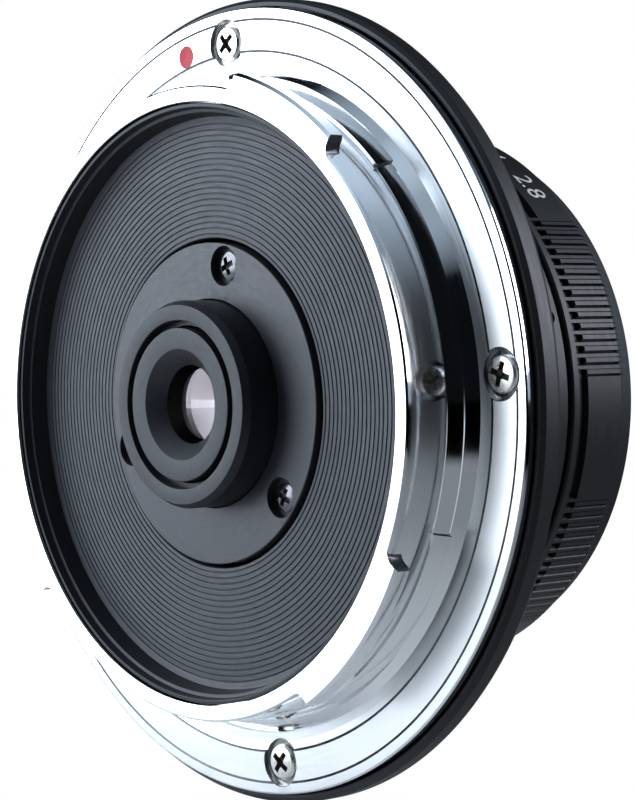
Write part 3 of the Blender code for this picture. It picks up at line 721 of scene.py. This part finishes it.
def glass_finish(name, tint):
    """Clear glass whose coating tints what it reflects."""
    made, tree, shader = new_material(name)
    shader.inputs["Base Color"].default_value = GLASS_BODY
    shader.inputs["Transmission Weight"].default_value = 1.0
    shader.inputs["IOR"].default_value = GLASS_INDEX
    shader.inputs["Specular Tint"].default_value = (*tint, 1)
    haze = grain(tree, GLASS_HAZE)
    tree.links.new(between(tree, haze, *GLASS_ROUGHNESS), shader.inputs["Roughness"])
    return made


CHROME = chrome_finish("polished_chrome", roughness=0.08, lines_strength=0.02)
SATIN_CHROME = chrome_finish("satin_chrome", roughness=0.34, lines_strength=0.03)
# Darker chrome as painted shade on the walls of the holes cut in the flange
PAINTED_SHADE_CHROME = metal_finish("chrome_with_painted_shade", (0.30, 0.30, 0.30), (0.42, 0.42, 0.42), roughness=0.12)
# Darker chrome as painted shade in the seat lines and on the lug ends
PAINTED_SHADE_LINE_CHROME = metal_finish("chrome_lines_painted_shade", (0.13, 0.13, 0.14), (0.19, 0.19, 0.20), roughness=0.20)
NICKEL = nickel_finish("warm_nickel", grain_strength=0.10)
RED = enamel_finish("red_enamel", (0.50, 0.012, 0.035), (0.62, 0.030, 0.060), roughness=0.55)
WHITE = enamel_finish("white_fill", (0.62, 0.62, 0.62), (0.80, 0.80, 0.79), roughness=0.5)
# Dark brown on the faces cut for the screws' cross recesses, darker than the heads round them
RECESS = enamel_finish("dark_cross_recess", (0.030, 0.024, 0.019), (0.060, 0.049, 0.039), roughness=0.5)
BLACK = anodised_finish("black_anodised", (0.014, 0.0145, 0.016), (0.026, 0.0265, 0.029),
                        roughness=0.38, sheen=0.3, lines_strength=0.25, grain_strength=0.10)
PLATE_BLACK = anodised_finish("plate_anodised", (0.014, 0.0145, 0.017), (0.027, 0.028, 0.033),
                              roughness=0.46, sheen=0.62, lines_strength=0.0, grain_strength=0.20)
BARREL_BLACK = anodised_finish("barrel_anodised", (0.012, 0.0125, 0.015), (0.024, 0.025, 0.030),
                               roughness=0.46, sheen=0.42, lines_strength=0.0, grain_strength=0.20)
BAFFLE_BLACK = anodised_finish("baffle_black", (0.016, 0.0165, 0.020), (0.046, 0.048, 0.057),
                               roughness=0.58, sheen=0.75, lines_strength=0.0, grain_strength=0.30)
BLADE_BLACK = anodised_finish("blackened_blade", (0.010, 0.010, 0.011), (0.022, 0.022, 0.024),
                              roughness=0.38, sheen=0.3, lines_strength=0.0, grain_strength=0.15)
BRIGHT_STEEL = metal_finish("bright_steel", (0.10, 0.10, 0.11), (0.16, 0.16, 0.17), roughness=0.10)
STEEL = metal_finish("plain_steel", (0.48, 0.48, 0.49), (0.62, 0.62, 0.63), roughness=0.25)
BRASS = metal_finish("turned_brass", (0.56, 0.40, 0.16), (0.70, 0.53, 0.25), roughness=0.25)
PINK_GLASS = glass_finish("pink_coated_glass", tint=(1.0, 0.80, 0.88))
VIOLET_GLASS = glass_finish("violet_coated_glass", tint=(0.62, 0.50, 1.0))

# Finishes of the nodes whose own shapes stay
NODE_FINISHES = {
    "mount_shim": BRASS, "focus_stop_pin": STEEL, "guide_key_1": STEEL, "guide_key_2": STEEL,
    "focus_helicoid": BRASS, "lens_barrel": BLACK, "aperture_lever": STEEL, "iris_actuator": STEEL,
    "iris_housing": BLACK, "iris_cover": BLACK, "front_cell": BLACK, "front_spacer": BAFFLE_BLACK,
    "front_retainer": BAFFLE_BLACK, "third_retainer": BAFFLE_BLACK,
}
BLADE_COUNT = 6


# Pieces on the mount

def lug(start, end):
    """A bayonet lug with a bevelled rim, which runs into the collar in a hollow curve at each end."""
    top = COLLAR_Z + SLIVER
    reach = degrees(LUG_HOLLOW / LUG_RADIUS)
    rise = LUG_RADIUS - LUG_BEVEL - COLLAR_EDGE
    hollow = []
    for k in range(LUG_HOLLOW_STEPS + 1):
        share = k / LUG_HOLLOW_STEPS
        hollow.append((reach * (1 - share), COLLAR_EDGE + rise * (1 - sqrt(1 - share ** 2)), LUG_END_BEVEL))
    stops = [(start - back, radius, bevel) for back, radius, bevel in hollow]
    arc = end - start - 2 * LUG_NOSE
    for k in range(LUG_STEPS + 1):
        stops.append((start + LUG_NOSE + arc * k / LUG_STEPS, LUG_RADIUS, LUG_BEVEL))
    stops += [(end + back, radius, bevel) for back, radius, bevel in reversed(hollow)]
    columns = []
    for angle, radius, bevel in stops:
        columns.append(upright([(LUG_ROOT, LUG_BOTTOM), (radius, LUG_BOTTOM), (radius, top - bevel),
                                (radius - bevel, top), (LUG_ROOT, top)], angle))
    return loft(columns, whole=False)


def lug_pad(start, end):
    """The raised band on the collar's flare below a lug."""
    (top, high), (foot, low) = COLLAR_FLARE[:2]
    profile = rounded([(LUG_ROOT, low - PAD_SINK), (foot + PAD_RAISE, low - PAD_SINK),
                       (top + PAD_RAISE, high + SLIVER, EDGE_LIGHT), (LUG_ROOT, high + SLIVER)])
    return lathe(profile, PAD_STEPS, start - PAD_MARGIN, end - start + 2 * PAD_MARGIN)


def mount_profile():
    outer = [(COLLAR_BORE, COLLAR_Z, EDGE_SOFT), (COLLAR_EDGE, COLLAR_Z),
             (COLLAR_EDGE + COLLAR_BREAK, COLLAR_Z - COLLAR_BREAK)]
    for radius, z in COLLAR_FLARE[:-1]:
        outer += [(radius, z + FLARE_LIP, EDGE_HAIR), (radius + FLARE_LEDGE, z, EDGE_FINE)]
    outer += [COLLAR_FLARE[-1], (CHANNEL_STEP, -CHANNEL_DEPTH), (CHANNEL_STEP, CHANNEL_SHELF, EDGE_FINE),
              (SEAT_INNER, CHANNEL_SHELF)]
    for line in SEAT_LINES:
        outer += [(line - SEAT_LINE_HALF, 0), (line, -SEAT_LINE_HALF), (line + SEAT_LINE_HALF, 0)]
    inner = [(FLANGE_RADIUS, 0, EDGE_FLANGE), (FLANGE_RADIUS, -FLANGE_THICKNESS),
             (LEDGE_RADIUS, -FLANGE_THICKNESS), (LEDGE_RADIUS, LEDGE_Z), (COLLAR_BORE, LEDGE_Z)]
    return rounded(outer + inner)


def mount_holes():
    """What is cut from the flange: a stepped hole for each screw and a shallow one for the dot."""
    mouth = SCREW_RECESS + SCREW_RECESS_BREAK
    seat = -SCREW_RECESS_DEPTH
    through = -2 * FLANGE_THICKNESS
    recess = lathe([(0, CLEAR), (mouth, CLEAR), (mouth, 0), (SCREW_RECESS, -SCREW_RECESS_BREAK),
                    (SCREW_RECESS - SCREW_RECESS_DRAFT, seat), (SCREW_HOLE, seat),
                    (SCREW_HOLE, through), (0, through)], SMALL_ROUND)
    holes = [stand_at(recess, SCREW_CIRCLE, angle) for angle in SCREW_ANGLES]
    dot_edge = DOT_RADIUS + DOT_GAP
    dot_hole = lathe([(0, CLEAR), (dot_edge, CLEAR), (dot_edge, DOT_BOTTOM), (0, DOT_BOTTOM)], SMALL_ROUND)
    holes.append(stand_at(dot_hole, DOT_CIRCLE, DOT_ANGLE))
    return holes


def finish_mount_faces(piece):
    """Satin on the seat, the channel and the pad ends, and darker chrome as painted shade in the seat lines
    and on the lug ends.
    """
    satin = add_finish(piece, SATIN_CHROME)
    shade_painted = add_finish(piece, PAINTED_SHADE_LINE_CHROME)
    gentle, steep = SLOPE
    for face in piece.data.polygons:
        height = face.center.y / MM
        on_seat = -SLIVER - CHANNEL_DEPTH < height < SLIVER or height > COLLAR_Z - SLIVER
        radius = hypot(face.center.x, face.center.z)
        sideways = abs(face.normal.x * face.center.z - face.normal.z * face.center.x) / radius
        # Sideways faces: darker chrome as painted shade on the lug ends, satin on the pad ends
        if sideways > SIDEWAYS and radius > COLLAR_EDGE * MM and height > 0:
            face.material_index = shade_painted if height > LUG_BOTTOM else satin
        elif on_seat and face.normal.y > LEVEL:
            face.material_index = satin
        # Sloping faces of the seat lines: darker chrome as painted shade in the grooves
        elif on_seat and height < 0 and gentle < face.normal.y < steep:
            face.material_index = shade_painted


def bayonet_mount():
    piece = solid("bayonet_mount_dressed", lathe(mount_profile()))
    piece.data.materials.append(CHROME)
    # The walls cut for the screws and the dot take the darker chrome, painted shade in the holes
    carve(piece, mount_holes(), finish=PAINTED_SHADE_CHROME)
    added = []
    for start, end in LUG_ARCS:
        added += [lug(start, end), lug_pad(start, end)]
    carve(piece, added, "UNION")
    dress(piece, CHROME, "chrome", "mount_body", "bayonet_mount")
    finish_mount_faces(piece)


def cross_screw(name, head, cross, pit_depth, place, finish):
    """A screw with a domed head and a tapered cross recess, standing at a place on a circle."""
    radius, angle, turn = place
    width, length, top, bottom = cross
    piece = solid(name, stand_at(lathe(head, SMALL_ROUND), radius, angle))
    piece.data.materials.append(finish)
    cuts = []
    for quarter in (0.0, FULL_TURN / 4):
        cutter = bar(width, length, top, bottom, CROSS_TAPER)
        cuts.append(stand_at(cutter, radius, angle, turn + quarter))
    pit = lathe([(0, top), (width * PIT_MOUTH, top), (width * PIT_FLOOR, bottom - pit_depth),
                 (0, bottom - pit_depth)], SMALL_ROUND)
    cuts.append(stand_at(pit, radius, angle))
    # The faces cut for the cross take the dark brown recess finish
    carve(piece, cuts, finish=RECESS)
    return piece


def mount_screws():
    head = dome(SCREW_HEAD, SCREW_CROWN, SCREW_DROP, SCREW_CURVE, SCREW_DOME)
    head += [(SCREW_HEAD, SCREW_EDGE), (SCREW_HEAD, SCREW_UNDER), (SCREW_SHANK, SCREW_UNDER),
             (SCREW_SHANK, SCREW_TIP), (0, SCREW_TIP)]
    for number, (angle, turn) in enumerate(zip(SCREW_ANGLES, SCREW_TURNS), 1):
        name = f"mount_screw_{number}"
        piece = cross_screw(name + "_dressed", head, SCREW_CROSS, SCREW_PIT,
                            (SCREW_CIRCLE, angle, turn), NICKEL)
        dress(piece, NICKEL, "screw_nickel", "mount_body", name)


def index_dot():
    profile = [(DOT_RADIUS * share, z) for share, z in DOT_DISH]
    profile += [(DOT_RADIUS, DOT_BOTTOM), (0, DOT_BOTTOM)]
    piece = solid("index_dot_dressed", stand_at(lathe(profile, SMALL_ROUND), DOT_CIRCLE, DOT_ANGLE))
    dress(piece, RED, "red_enamel", "mount_body", "index_dot")


def base_barrel():
    rim = [(BASE_RECESS, BASE_RIM, EDGE_SMALL), (BASE_RADIUS - BASE_BREAK, BASE_RIM, EDGE_SOFT),
           (BASE_RADIUS, BASE_RIM - BASE_BREAK, EDGE_SOFT)]
    side = [(BASE_RADIUS, BASE_SHOULDER, EDGE_BROAD), (*BASE_STEP, EDGE_SOFT),
            (BASE_FACE, BASE_FRONT, EDGE_CONE), (NECK_RADIUS, BASE_FRONT), (NECK_RADIUS, NECK_Z)]
    inside = [(NECK_BORE, NECK_Z), (NECK_BORE, BASE_FLOOR), (BASE_RECESS, BASE_FLOOR)]
    piece = solid("base_barrel_dressed", lathe(rounded(rim + side + inside)))
    dress(piece, BLACK, "black_anodised", "mount_body", "base_barrel")


def rear_baffle():
    rim = [(BAFFLE_RADIUS, BAFFLE_UNDER), (BAFFLE_RADIUS, BAFFLE_TOP, EDGE_PLAIN),
           (BAFFLE_LIP, BAFFLE_TOP, EDGE_LIGHT), (*BAFFLE_LIP_FOOT, EDGE_SMALL), (*BAFFLE_LEDGE, EDGE_LIGHT),
           (BAFFLE_WALL, BAFFLE_FOOT, EDGE_SMALL)]
    ridges = []
    for k in reversed(range(GROOVE_COUNT)):
        radius = GROOVE_FIRST + GROOVE_PITCH * k
        floor_z = BAFFLE_FACE - GROOVE_DEPTH
        ridges += [(radius + GROOVE_HALF, BAFFLE_FACE), (radius + GROOVE_FLOOR_HALF, floor_z),
                   (radius - GROOVE_FLOOR_HALF, floor_z), (radius - GROOVE_HALF, BAFFLE_FACE)]
    hole = [(BAFFLE_HOLE, BAFFLE_FACE, EDGE_PLAIN), (BAFFLE_HOLE, BAFFLE_UNDER)]
    piece = solid("rear_baffle_dressed", lathe(rounded(rim + ridges + hole)))
    dress(piece, BAFFLE_BLACK, "baffle_black", "mount_body", "rear_baffle")
    wall = add_finish(piece, BLACK)
    for face in piece.data.polygons:
        if face.center.xz.length > BAFFLE_WALL * MM:
            face.material_index = wall


# Rear optics

def rear_plate():
    profile = [(PLATE_RADIUS, PLATE_BOTTOM), (PLATE_RADIUS, PLATE_TOP, EDGE_FULL),
               (PLATE_HOLE, PLATE_TOP, EDGE_PLAIN), (PLATE_HOLE, PLATE_BOTTOM)]
    piece = solid("rear_plate_dressed", lathe(rounded(profile)))
    mouth = PLATE_SCREW_HOLE + PLATE_SCREW_BREAK
    above = PLATE_TOP + CLEAR
    counterbore = lathe([(0, above), (mouth, above), (mouth, PLATE_TOP),
                         (PLATE_SCREW_HOLE, PLATE_TOP - PLATE_SCREW_BREAK),
                         (PLATE_SCREW_HOLE, PLATE_SCREW_SEAT), (0, PLATE_SCREW_SEAT)], SMALL_ROUND)
    carve(piece, [stand_at(counterbore, PLATE_SCREW_CIRCLE, angle) for angle in PLATE_SCREW_ANGLES])
    dress(piece, PLATE_BLACK, "black_anodised", "lens_unit", "rear_plate")


def rear_plate_screws():
    head = dome(PLATE_SCREW_HEAD, PLATE_SCREW_CROWN, PLATE_SCREW_DROP, PLATE_SCREW_CURVE)
    head += [(PLATE_SCREW_HEAD, PLATE_SCREW_SEAT), (PLATE_SCREW_SHANK, PLATE_SCREW_SEAT),
             (PLATE_SCREW_SHANK, PLATE_SCREW_TIP), (0, PLATE_SCREW_TIP)]
    for number, (angle, turn) in enumerate(zip(PLATE_SCREW_ANGLES, PLATE_SCREW_TURNS), 1):
        name = f"rear_plate_screw_{number}"
        piece = cross_screw(name + "_dressed", head, PLATE_SCREW_CROSS, PLATE_SCREW_PIT,
                            (PLATE_SCREW_CIRCLE, angle, turn), BRIGHT_STEEL)
        dress(piece, BRIGHT_STEEL, "steel", "lens_unit", name)


def rear_barrel():
    outer = [(REAR_FACE, REAR_END, EDGE_FINE), (REAR_RADIUS, REAR_SHOULDER, EDGE_FINE),
             (REAR_RADIUS, REAR_FLANGE_Z), (REAR_FLANGE, REAR_FLANGE_Z), (REAR_FLANGE, REAR_FRONT)]
    inner = [(THIRD_POCKET, REAR_FRONT), (THIRD_POCKET, THIRD_SEAT_Z), (REAR_THROAT, THIRD_SEAT_Z),
             (REAR_THROAT, REAR_SEAT_Z), (REAR_BORE, REAR_SEAT_Z), (REAR_BORE, REAR_RECESS_Z),
             (REAR_RECESS, REAR_RECESS_Z), (REAR_RECESS, REAR_END, EDGE_PLAIN)]
    piece = solid("rear_barrel_dressed", lathe(rounded(outer + inner)))
    dress(piece, BARREL_BLACK, "black_anodised", "lens_unit", "rear_barrel")


def rear_retaining_ring():
    outer = [(RETAINER_RADIUS, RETAINER_BOTTOM), (RETAINER_RADIUS, RETAINER_TOP, EDGE_PLAIN)]
    inner = [(*RETAINER_MOUTH, EDGE_PLAIN), (*RETAINER_THROAT, EDGE_THIN), (RETAINER_FOOT, RETAINER_BOTTOM)]
    piece = solid("rear_retaining_ring_dressed", lathe(rounded(outer + inner), HALF_ROUND))
    dress(piece, BARREL_BLACK, "black_anodised", "lens_unit", "rear_retaining_ring")


def element(name, shape, finish):
    """A glass element: each face falls back from its vertex by a parabola."""
    radius, rear, rear_fall, front, front_fall = shape
    shares = [k / ELEMENT_STEPS for k in range(ELEMENT_STEPS + 1)]
    rear_face = [(radius * share, rear - rear_fall * share ** 2) for share in shares]
    front_face = [(radius * share, front + front_fall * share ** 2) for share in shares]
    piece = solid(name + "_dressed", lathe(rear_face + front_face[::-1], HALF_ROUND))
    dress(piece, finish, "glass", "lens_unit", name)


def elements():
    element("rear_element", REAR_ELEMENT, PINK_GLASS)
    element("third_element", THIRD_ELEMENT, VIOLET_GLASS)
    element("second_element", SECOND_ELEMENT, VIOLET_GLASS)
    element("front_element", FRONT_ELEMENT, VIOLET_GLASS)


# Rings

def focus_ring():
    rear, front = FOCUS_Z
    chamfer = FOCUS_RADIUS - FOCUS_CHAMFER
    columns = []
    for k in range(FOCUS_RIBS):
        for share, depth in FOCUS_RIB_STOPS:
            cut = FOCUS_RADIUS - depth
            section = [(chamfer, rear), (FOCUS_RADIUS, rear - FOCUS_CHAMFER),
                       (FOCUS_RADIUS, rear - FOCUS_BAND), (cut, rear - FOCUS_RIB_END),
                       (cut, front + FOCUS_RIB_END), (FOCUS_RADIUS, front + FOCUS_BAND),
                       (FOCUS_RADIUS, front + FOCUS_CHAMFER), (chamfer, front),
                       (FOCUS_BORE, front), (FOCUS_BORE, rear)]
            columns.append(upright(section, FULL_TURN * (k + share) / FOCUS_RIBS))
    piece = solid("focus_ring_dressed", loft(columns))
    inside = FOCUS_BORE - CLEAR
    outside = FOCUS_RADIUS + CLEAR
    hole = lathe([(0, inside), (SET_SCREW_HOLE, inside), (SET_SCREW_HOLE, outside), (0, outside)],
                 SMALL_ROUND)
    carve(piece, [point_outward(hole, angle, FOCUS_SCREW_Z) for angle in SET_SCREW_ANGLES])
    dress(piece, BLACK, "black_anodised", "focus_control", "focus_ring")


def index_ring():
    rear, front = INDEX_Z
    profile = [(RING_RADIUS, rear, EDGE_WIDE), (RING_RADIUS, front, EDGE_WIDE), (RING_BORE, front),
               (RING_BORE, rear)]
    piece = solid("index_ring_dressed", lathe(rounded(profile)))
    inside = RING_BORE - CLEAR
    outside = RING_RADIUS + CLEAR
    hole = lathe([(0, inside), (SET_SCREW_HOLE, inside), (SET_SCREW_HOLE, RING_RADIUS - SET_SCREW_FLARE),
                  (SET_SCREW_MOUTH, outside), (0, outside)], SMALL_ROUND)
    carve(piece, [point_outward(hole, angle, INDEX_SCREW_Z) for angle in SET_SCREW_ANGLES])
    dress(piece, BLACK, "black_anodised", "lens_unit", "index_ring")


def index_mark():
    """The white line on the index ring that the numbers are read against."""
    rear = INDEX_Z[0] - MARK_MARGINS[0]
    front = INDEX_Z[1] + MARK_MARGINS[1]
    profile = [(RING_RADIUS - MARK_SINK, rear), (RING_RADIUS + MARK_RAISE, rear),
               (RING_RADIUS + MARK_RAISE, front), (RING_RADIUS - MARK_SINK, front)]
    half = degrees(MARK_HALF / RING_RADIUS)
    piece = solid("index_mark", lathe(profile, MARK_STEPS, NUMBER_FIRST - half, 2 * half))
    dress(piece, WHITE, "black_anodised", "lens_unit")


def set_screws(prefix, low, high, z, body):
    """Headless screws with a straight slot, pointing inwards round a ring."""
    profile = [(0, low), (SET_SCREW_RADIUS, low), (SET_SCREW_RADIUS, high, EDGE_PLAIN), (0, high)]
    shank = lathe(rounded(profile), SMALL_ROUND)
    slot_cut = bar(SLOT_WIDTH, SLOT_LENGTH, high + SLOT_TOP, high - SLOT_DEPTH, 1.0)
    for number, angle in enumerate(SET_SCREW_ANGLES, 1):
        name = f"{prefix}_{number}"
        piece = solid(name + "_dressed", point_outward(shank, angle, z))
        carve(piece, [point_outward(slot_cut, angle, z)])
        dress(piece, STEEL, "steel", body, name)


def rib_columns():
    """Turning angles round the aperture ring, each with how deep the grip is cut there and whether a rib
    bridges the groove behind the grip. The numbers stand in the gap after the last group."""
    columns = []
    group = RIB_PITCH * RIB_PAIRS
    for first in RIB_GROUPS:
        for pair in range(RIB_PAIRS):
            angle = first - RIB_PITCH * pair
            for offset, depth, bridge in RIB_STOPS:
                columns.append((angle - offset, depth, bridge))
        last = first - group
        gap = RIB_GROUP_PITCH - group
        if first == RIB_GROUPS[-1]:
            gap += RIB_GROUP_PITCH
        steps = round(gap / PLAIN_STEP)
        for k in range(steps):
            columns.append((last - gap * k / steps, 0, 0))
        columns.append((last - gap - RIB_RAMP, 0, 0))
    return columns


def aperture_ring():
    columns = []
    for angle, depth, bridge in rib_columns():
        groove = RING_RADIUS if bridge else APERTURE_GROOVE_FLOOR
        grip_end = RING_RADIUS - depth * GRIP_END
        rear = [(RING_RADIUS - APERTURE_BREAK, APERTURE_REAR), (RING_RADIUS, APERTURE_REAR - APERTURE_BREAK),
                (RING_RADIUS, APERTURE_LIP + GRIP_RISE), (groove, APERTURE_LIP), (groove, APERTURE_GROOVE)]
        grip = [(grip_end, APERTURE_GROOVE - GRIP_RISE), (RING_RADIUS - depth, APERTURE_GRIP + GRIP_RUN),
                (grip_end, APERTURE_GRIP)]
        nose = [NOSE_REAR, NOSE_FRONT, (NOSE_EDGE, APERTURE_FRONT)]
        inside = [(APERTURE_COUNTERBORE, APERTURE_FRONT), (APERTURE_COUNTERBORE, APERTURE_STEP),
                  (RING_BORE, APERTURE_STEP), (RING_BORE, APERTURE_REAR)]
        columns.append(upright(rear + grip + nose + inside, angle))
    piece = solid("aperture_ring_dressed", loft(columns))
    dress(piece, BLACK, "black_anodised", "aperture_control", "aperture_ring")


def ring_number(name, text, angle):
    """A number wrapped onto the aperture ring, its top towards the front, read clockwise from the rear."""
    curve = bpy.data.curves.new(name, "FONT")
    curve.body = text
    curve.size = NUMBER_SIZE
    curve.align_x = "CENTER"
    curve.align_y = "CENTER"
    curve.extrude = NUMBER_HALF_DEPTH
    source = bpy.data.objects.new(name, curve)
    bpy.context.scene.collection.objects.link(source)
    view = bpy.context.evaluated_depsgraph_get()
    mesh = bpy.data.meshes.new_from_object(source.evaluated_get(view))
    bpy.data.objects.remove(source, do_unlink=True)
    for point in mesh.vertices:
        across, up, out = point.co
        spot = polar(RING_RADIUS + out - NUMBER_SINK, angle - degrees(across / RING_RADIUS))
        point.co = to_world(*spot, NUMBER_Z - up)
    mesh.name = name
    piece = bpy.data.objects.new(name, mesh)
    bpy.context.scene.collection.objects.link(piece)
    dress(piece, WHITE, "black_anodised", "aperture_control")


def aperture_numbers():
    for k, text in enumerate(APERTURE_NUMBERS):
        ring_number(f"aperture_number_{k + 1}", text, NUMBER_FIRST + NUMBER_STEP * k)


def filter_ring():
    web_rear, web_front = FILTER_WEB
    thread = []
    for k in range(THREAD_TURNS):
        z = FILTER_FRONT + THREAD_START + THREAD_PITCH * k
        thread += [(THREAD_CREST, z), (THREAD_ROOT, z + THREAD_PITCH / 2)]
    outer = [(FILTER_TENON, FILTER_REAR), (FILTER_TENON, web_rear), (FILTER_RIM, web_rear),
             (FILTER_RIM, FILTER_FRONT, EDGE_WIDE), (FILTER_MOUTH, FILTER_FRONT, EDGE_SMALL)]
    inner = [(THREAD_CREST, web_front), (FILTER_BORE, web_front), (FILTER_BORE, FILTER_REAR)]
    piece = solid("filter_ring_dressed", lathe(rounded(outer + thread + inner)))
    dress(piece, BLACK, "black_anodised", "lens_unit", "filter_ring")


def name_ring():
    outer = [(NAME_RADIUS, NAME_REAR), (NAME_RADIUS, NAME_FRONT, EDGE_PLAIN),
             (NAME_SHOULDER, NAME_FRONT, EDGE_SMALL)]
    ridge_radius, ridge_z = NAME_RIDGE_OUT
    cone = []
    for k in range(1, NAME_RIDGES):
        share = k / NAME_RIDGES
        radius = NAME_SHOULDER + (NAME_CONE_END - NAME_SHOULDER) * share
        z = NAME_CONE_FRONT + NAME_CONE_DEPTH * share
        cone += [(radius + ridge_radius, z + ridge_z), (radius, z + NAME_RIDGE_BACK)]
    hole_front, hole_rear = NAME_HOLE_Z
    hole = [(NAME_HOLE, hole_front, EDGE_PLAIN), (NAME_HOLE, hole_rear)]
    piece = solid("name_ring_dressed", lathe(rounded(outer + cone + hole)))
    dress(piece, BAFFLE_BLACK, "black_anodised", "lens_unit", "name_ring")


def dress_nodes():
    """Procedural finishes for the nodes whose own shapes stay."""
    blades = {f"iris_blade_{number}": BLADE_BLACK for number in range(1, BLADE_COUNT + 1)}
    for name, finish in (NODE_FINISHES | blades).items():
        for slot in NODES[name].material_slots:
            slot.material = finish


# Studio

def camera():
    data = bpy.data.cameras.new("photo_camera")
    data.lens = CAMERA_LENS
    data.sensor_width = CAMERA_SENSOR
    data.clip_start = CAMERA_NEAR
    viewer = bpy.data.objects.new("photo_camera", data)
    right = Vector(CAMERA_RIGHT)
    up = Vector(CAMERA_UP)
    back = right.cross(up)
    viewer.matrix_world = Matrix.Translation(CAMERA_PLACE) @ Matrix((right, up, back)).transposed().to_4x4()
    bpy.context.scene.collection.objects.link(viewer)
    bpy.context.scene.camera = viewer


def glow_towards(tree, view, heading, tones):
    nearness = node(tree, "VectorMath", {0: view, 1: heading}, operation="DOT_PRODUCT").outputs["Value"]
    return between(tree, nearness, *tones)


def surroundings():
    """White behind the lens for the camera, and a dim studio for light and reflections."""
    world = bpy.data.worlds.new("studio")
    world.use_nodes = True
    tree = world.node_tree
    tree.nodes.clear()
    seen = node(tree, "LightPath").outputs["Is Camera Ray"]
    view = node(tree, "TexCoord").outputs["Generated"]
    backdrop = glow_towards(tree, view, *BACKDROP_GLOW)
    ceiling = glow_towards(tree, view, *CEILING_GLOW)
    side = glow_towards(tree, view, *SIDE_GLOW)
    glow = combine(tree, "ADD", backdrop, combine(tree, "ADD", ceiling, side))
    dim = node(tree, "Background", {"Color": GLOW_COLOUR, "Strength": glow}).outputs[0]
    white = node(tree, "Background", {"Color": PURE_WHITE, "Strength": 1.0}).outputs[0]
    mix = node(tree, "MixShader", {0: seen, 1: dim, 2: white}).outputs[0]
    tree.links.new(mix, node(tree, "OutputWorld").inputs["Surface"])
    bpy.context.scene.world = world
    bpy.context.scene.view_settings.view_transform = "Standard"


def floor_material():
    """White for the camera, and for light and reflections a toned sheet with painted light and shade: lighter
    towards the key softbox, darker on the camera's side and beyond the lens.
    """
    made = bpy.data.materials.new("floor_painted_light_and_shade")
    made.use_nodes = True
    tree = made.node_tree
    tree.nodes.clear()
    seen = node(tree, "LightPath").outputs["Is Camera Ray"]
    place = node(tree, "NewGeometry").outputs["Position"]
    split = node(tree, "SeparateXYZ", {0: place})
    across = split.outputs["X"]
    # Painted light and shade: lighter across towards the key softbox, darker on the camera's side, and dark
    # beyond the lens
    behind = between(tree, split.outputs["Y"], *FLOOR_PAINTED_SHADE_BEYOND)
    sideways = combine(tree, "ADD", between(tree, across, *FLOOR_PAINTED_NEAR_LIGHT), between(tree, across, *FLOOR_PAINTED_KEY_LIGHT))
    tone = combine(tree, "MULTIPLY", sideways, behind)
    painted_light_paper = node(tree, "BsdfDiffuse", {"Color": tone}).outputs[0]
    white = node(tree, "Emission", {"Color": PURE_WHITE, "Strength": 1.0}).outputs[0]
    mix = node(tree, "MixShader", {0: seen, 1: painted_light_paper, 2: white}).outputs[0]
    tree.links.new(mix, node(tree, "OutputMaterial").inputs["Surface"])
    return made


def floor():
    mesh = bpy.data.meshes.new("floor")
    reach = FLOOR_REACH
    height = CAD_BOX[0][2]
    mesh.from_pydata([(-reach, -reach, height), (reach, -reach, height), (reach, reach, height),
                      (-reach, reach, height)], [], [(0, 1, 2, 3)])
    mesh.materials.append(floor_material())
    sheet = bpy.data.objects.new("floor", mesh)
    bpy.context.scene.collection.objects.link(sheet)


def softbox(name, place, width, height, power, colour):
    """An area light that faces the lens."""
    light = bpy.data.lights.new(name, "AREA")
    light.shape = "RECTANGLE"
    light.size = width
    light.size_y = height
    light.energy = power
    light.color = colour
    lamp = bpy.data.objects.new(name, light)
    lamp.location = place
    lamp.rotation_euler = (-Vector(place)).to_track_quat("-Z", "Y").to_euler()
    bpy.context.scene.collection.objects.link(lamp)


def lights():
    for name, settings in SOFTBOXES.items():
        softbox(name, *settings)


camera()
surroundings()
floor()
lights()
bayonet_mount()
mount_screws()
index_dot()
base_barrel()
rear_baffle()
rear_plate()
rear_plate_screws()
rear_barrel()
rear_retaining_ring()
elements()
focus_ring()
index_ring()
index_mark()
set_screws("focus_set_screw", FOCUS_SCREW_TIP, FOCUS_RADIUS - SET_SCREW_SINK, FOCUS_SCREW_Z, "focus_control")
set_screws("index_set_screw", INDEX_SCREW_TIP, RING_RADIUS - SET_SCREW_SINK, INDEX_SCREW_Z, "lens_unit")
aperture_ring()
aperture_numbers()
filter_ring()
name_ring()
dress_nodes()
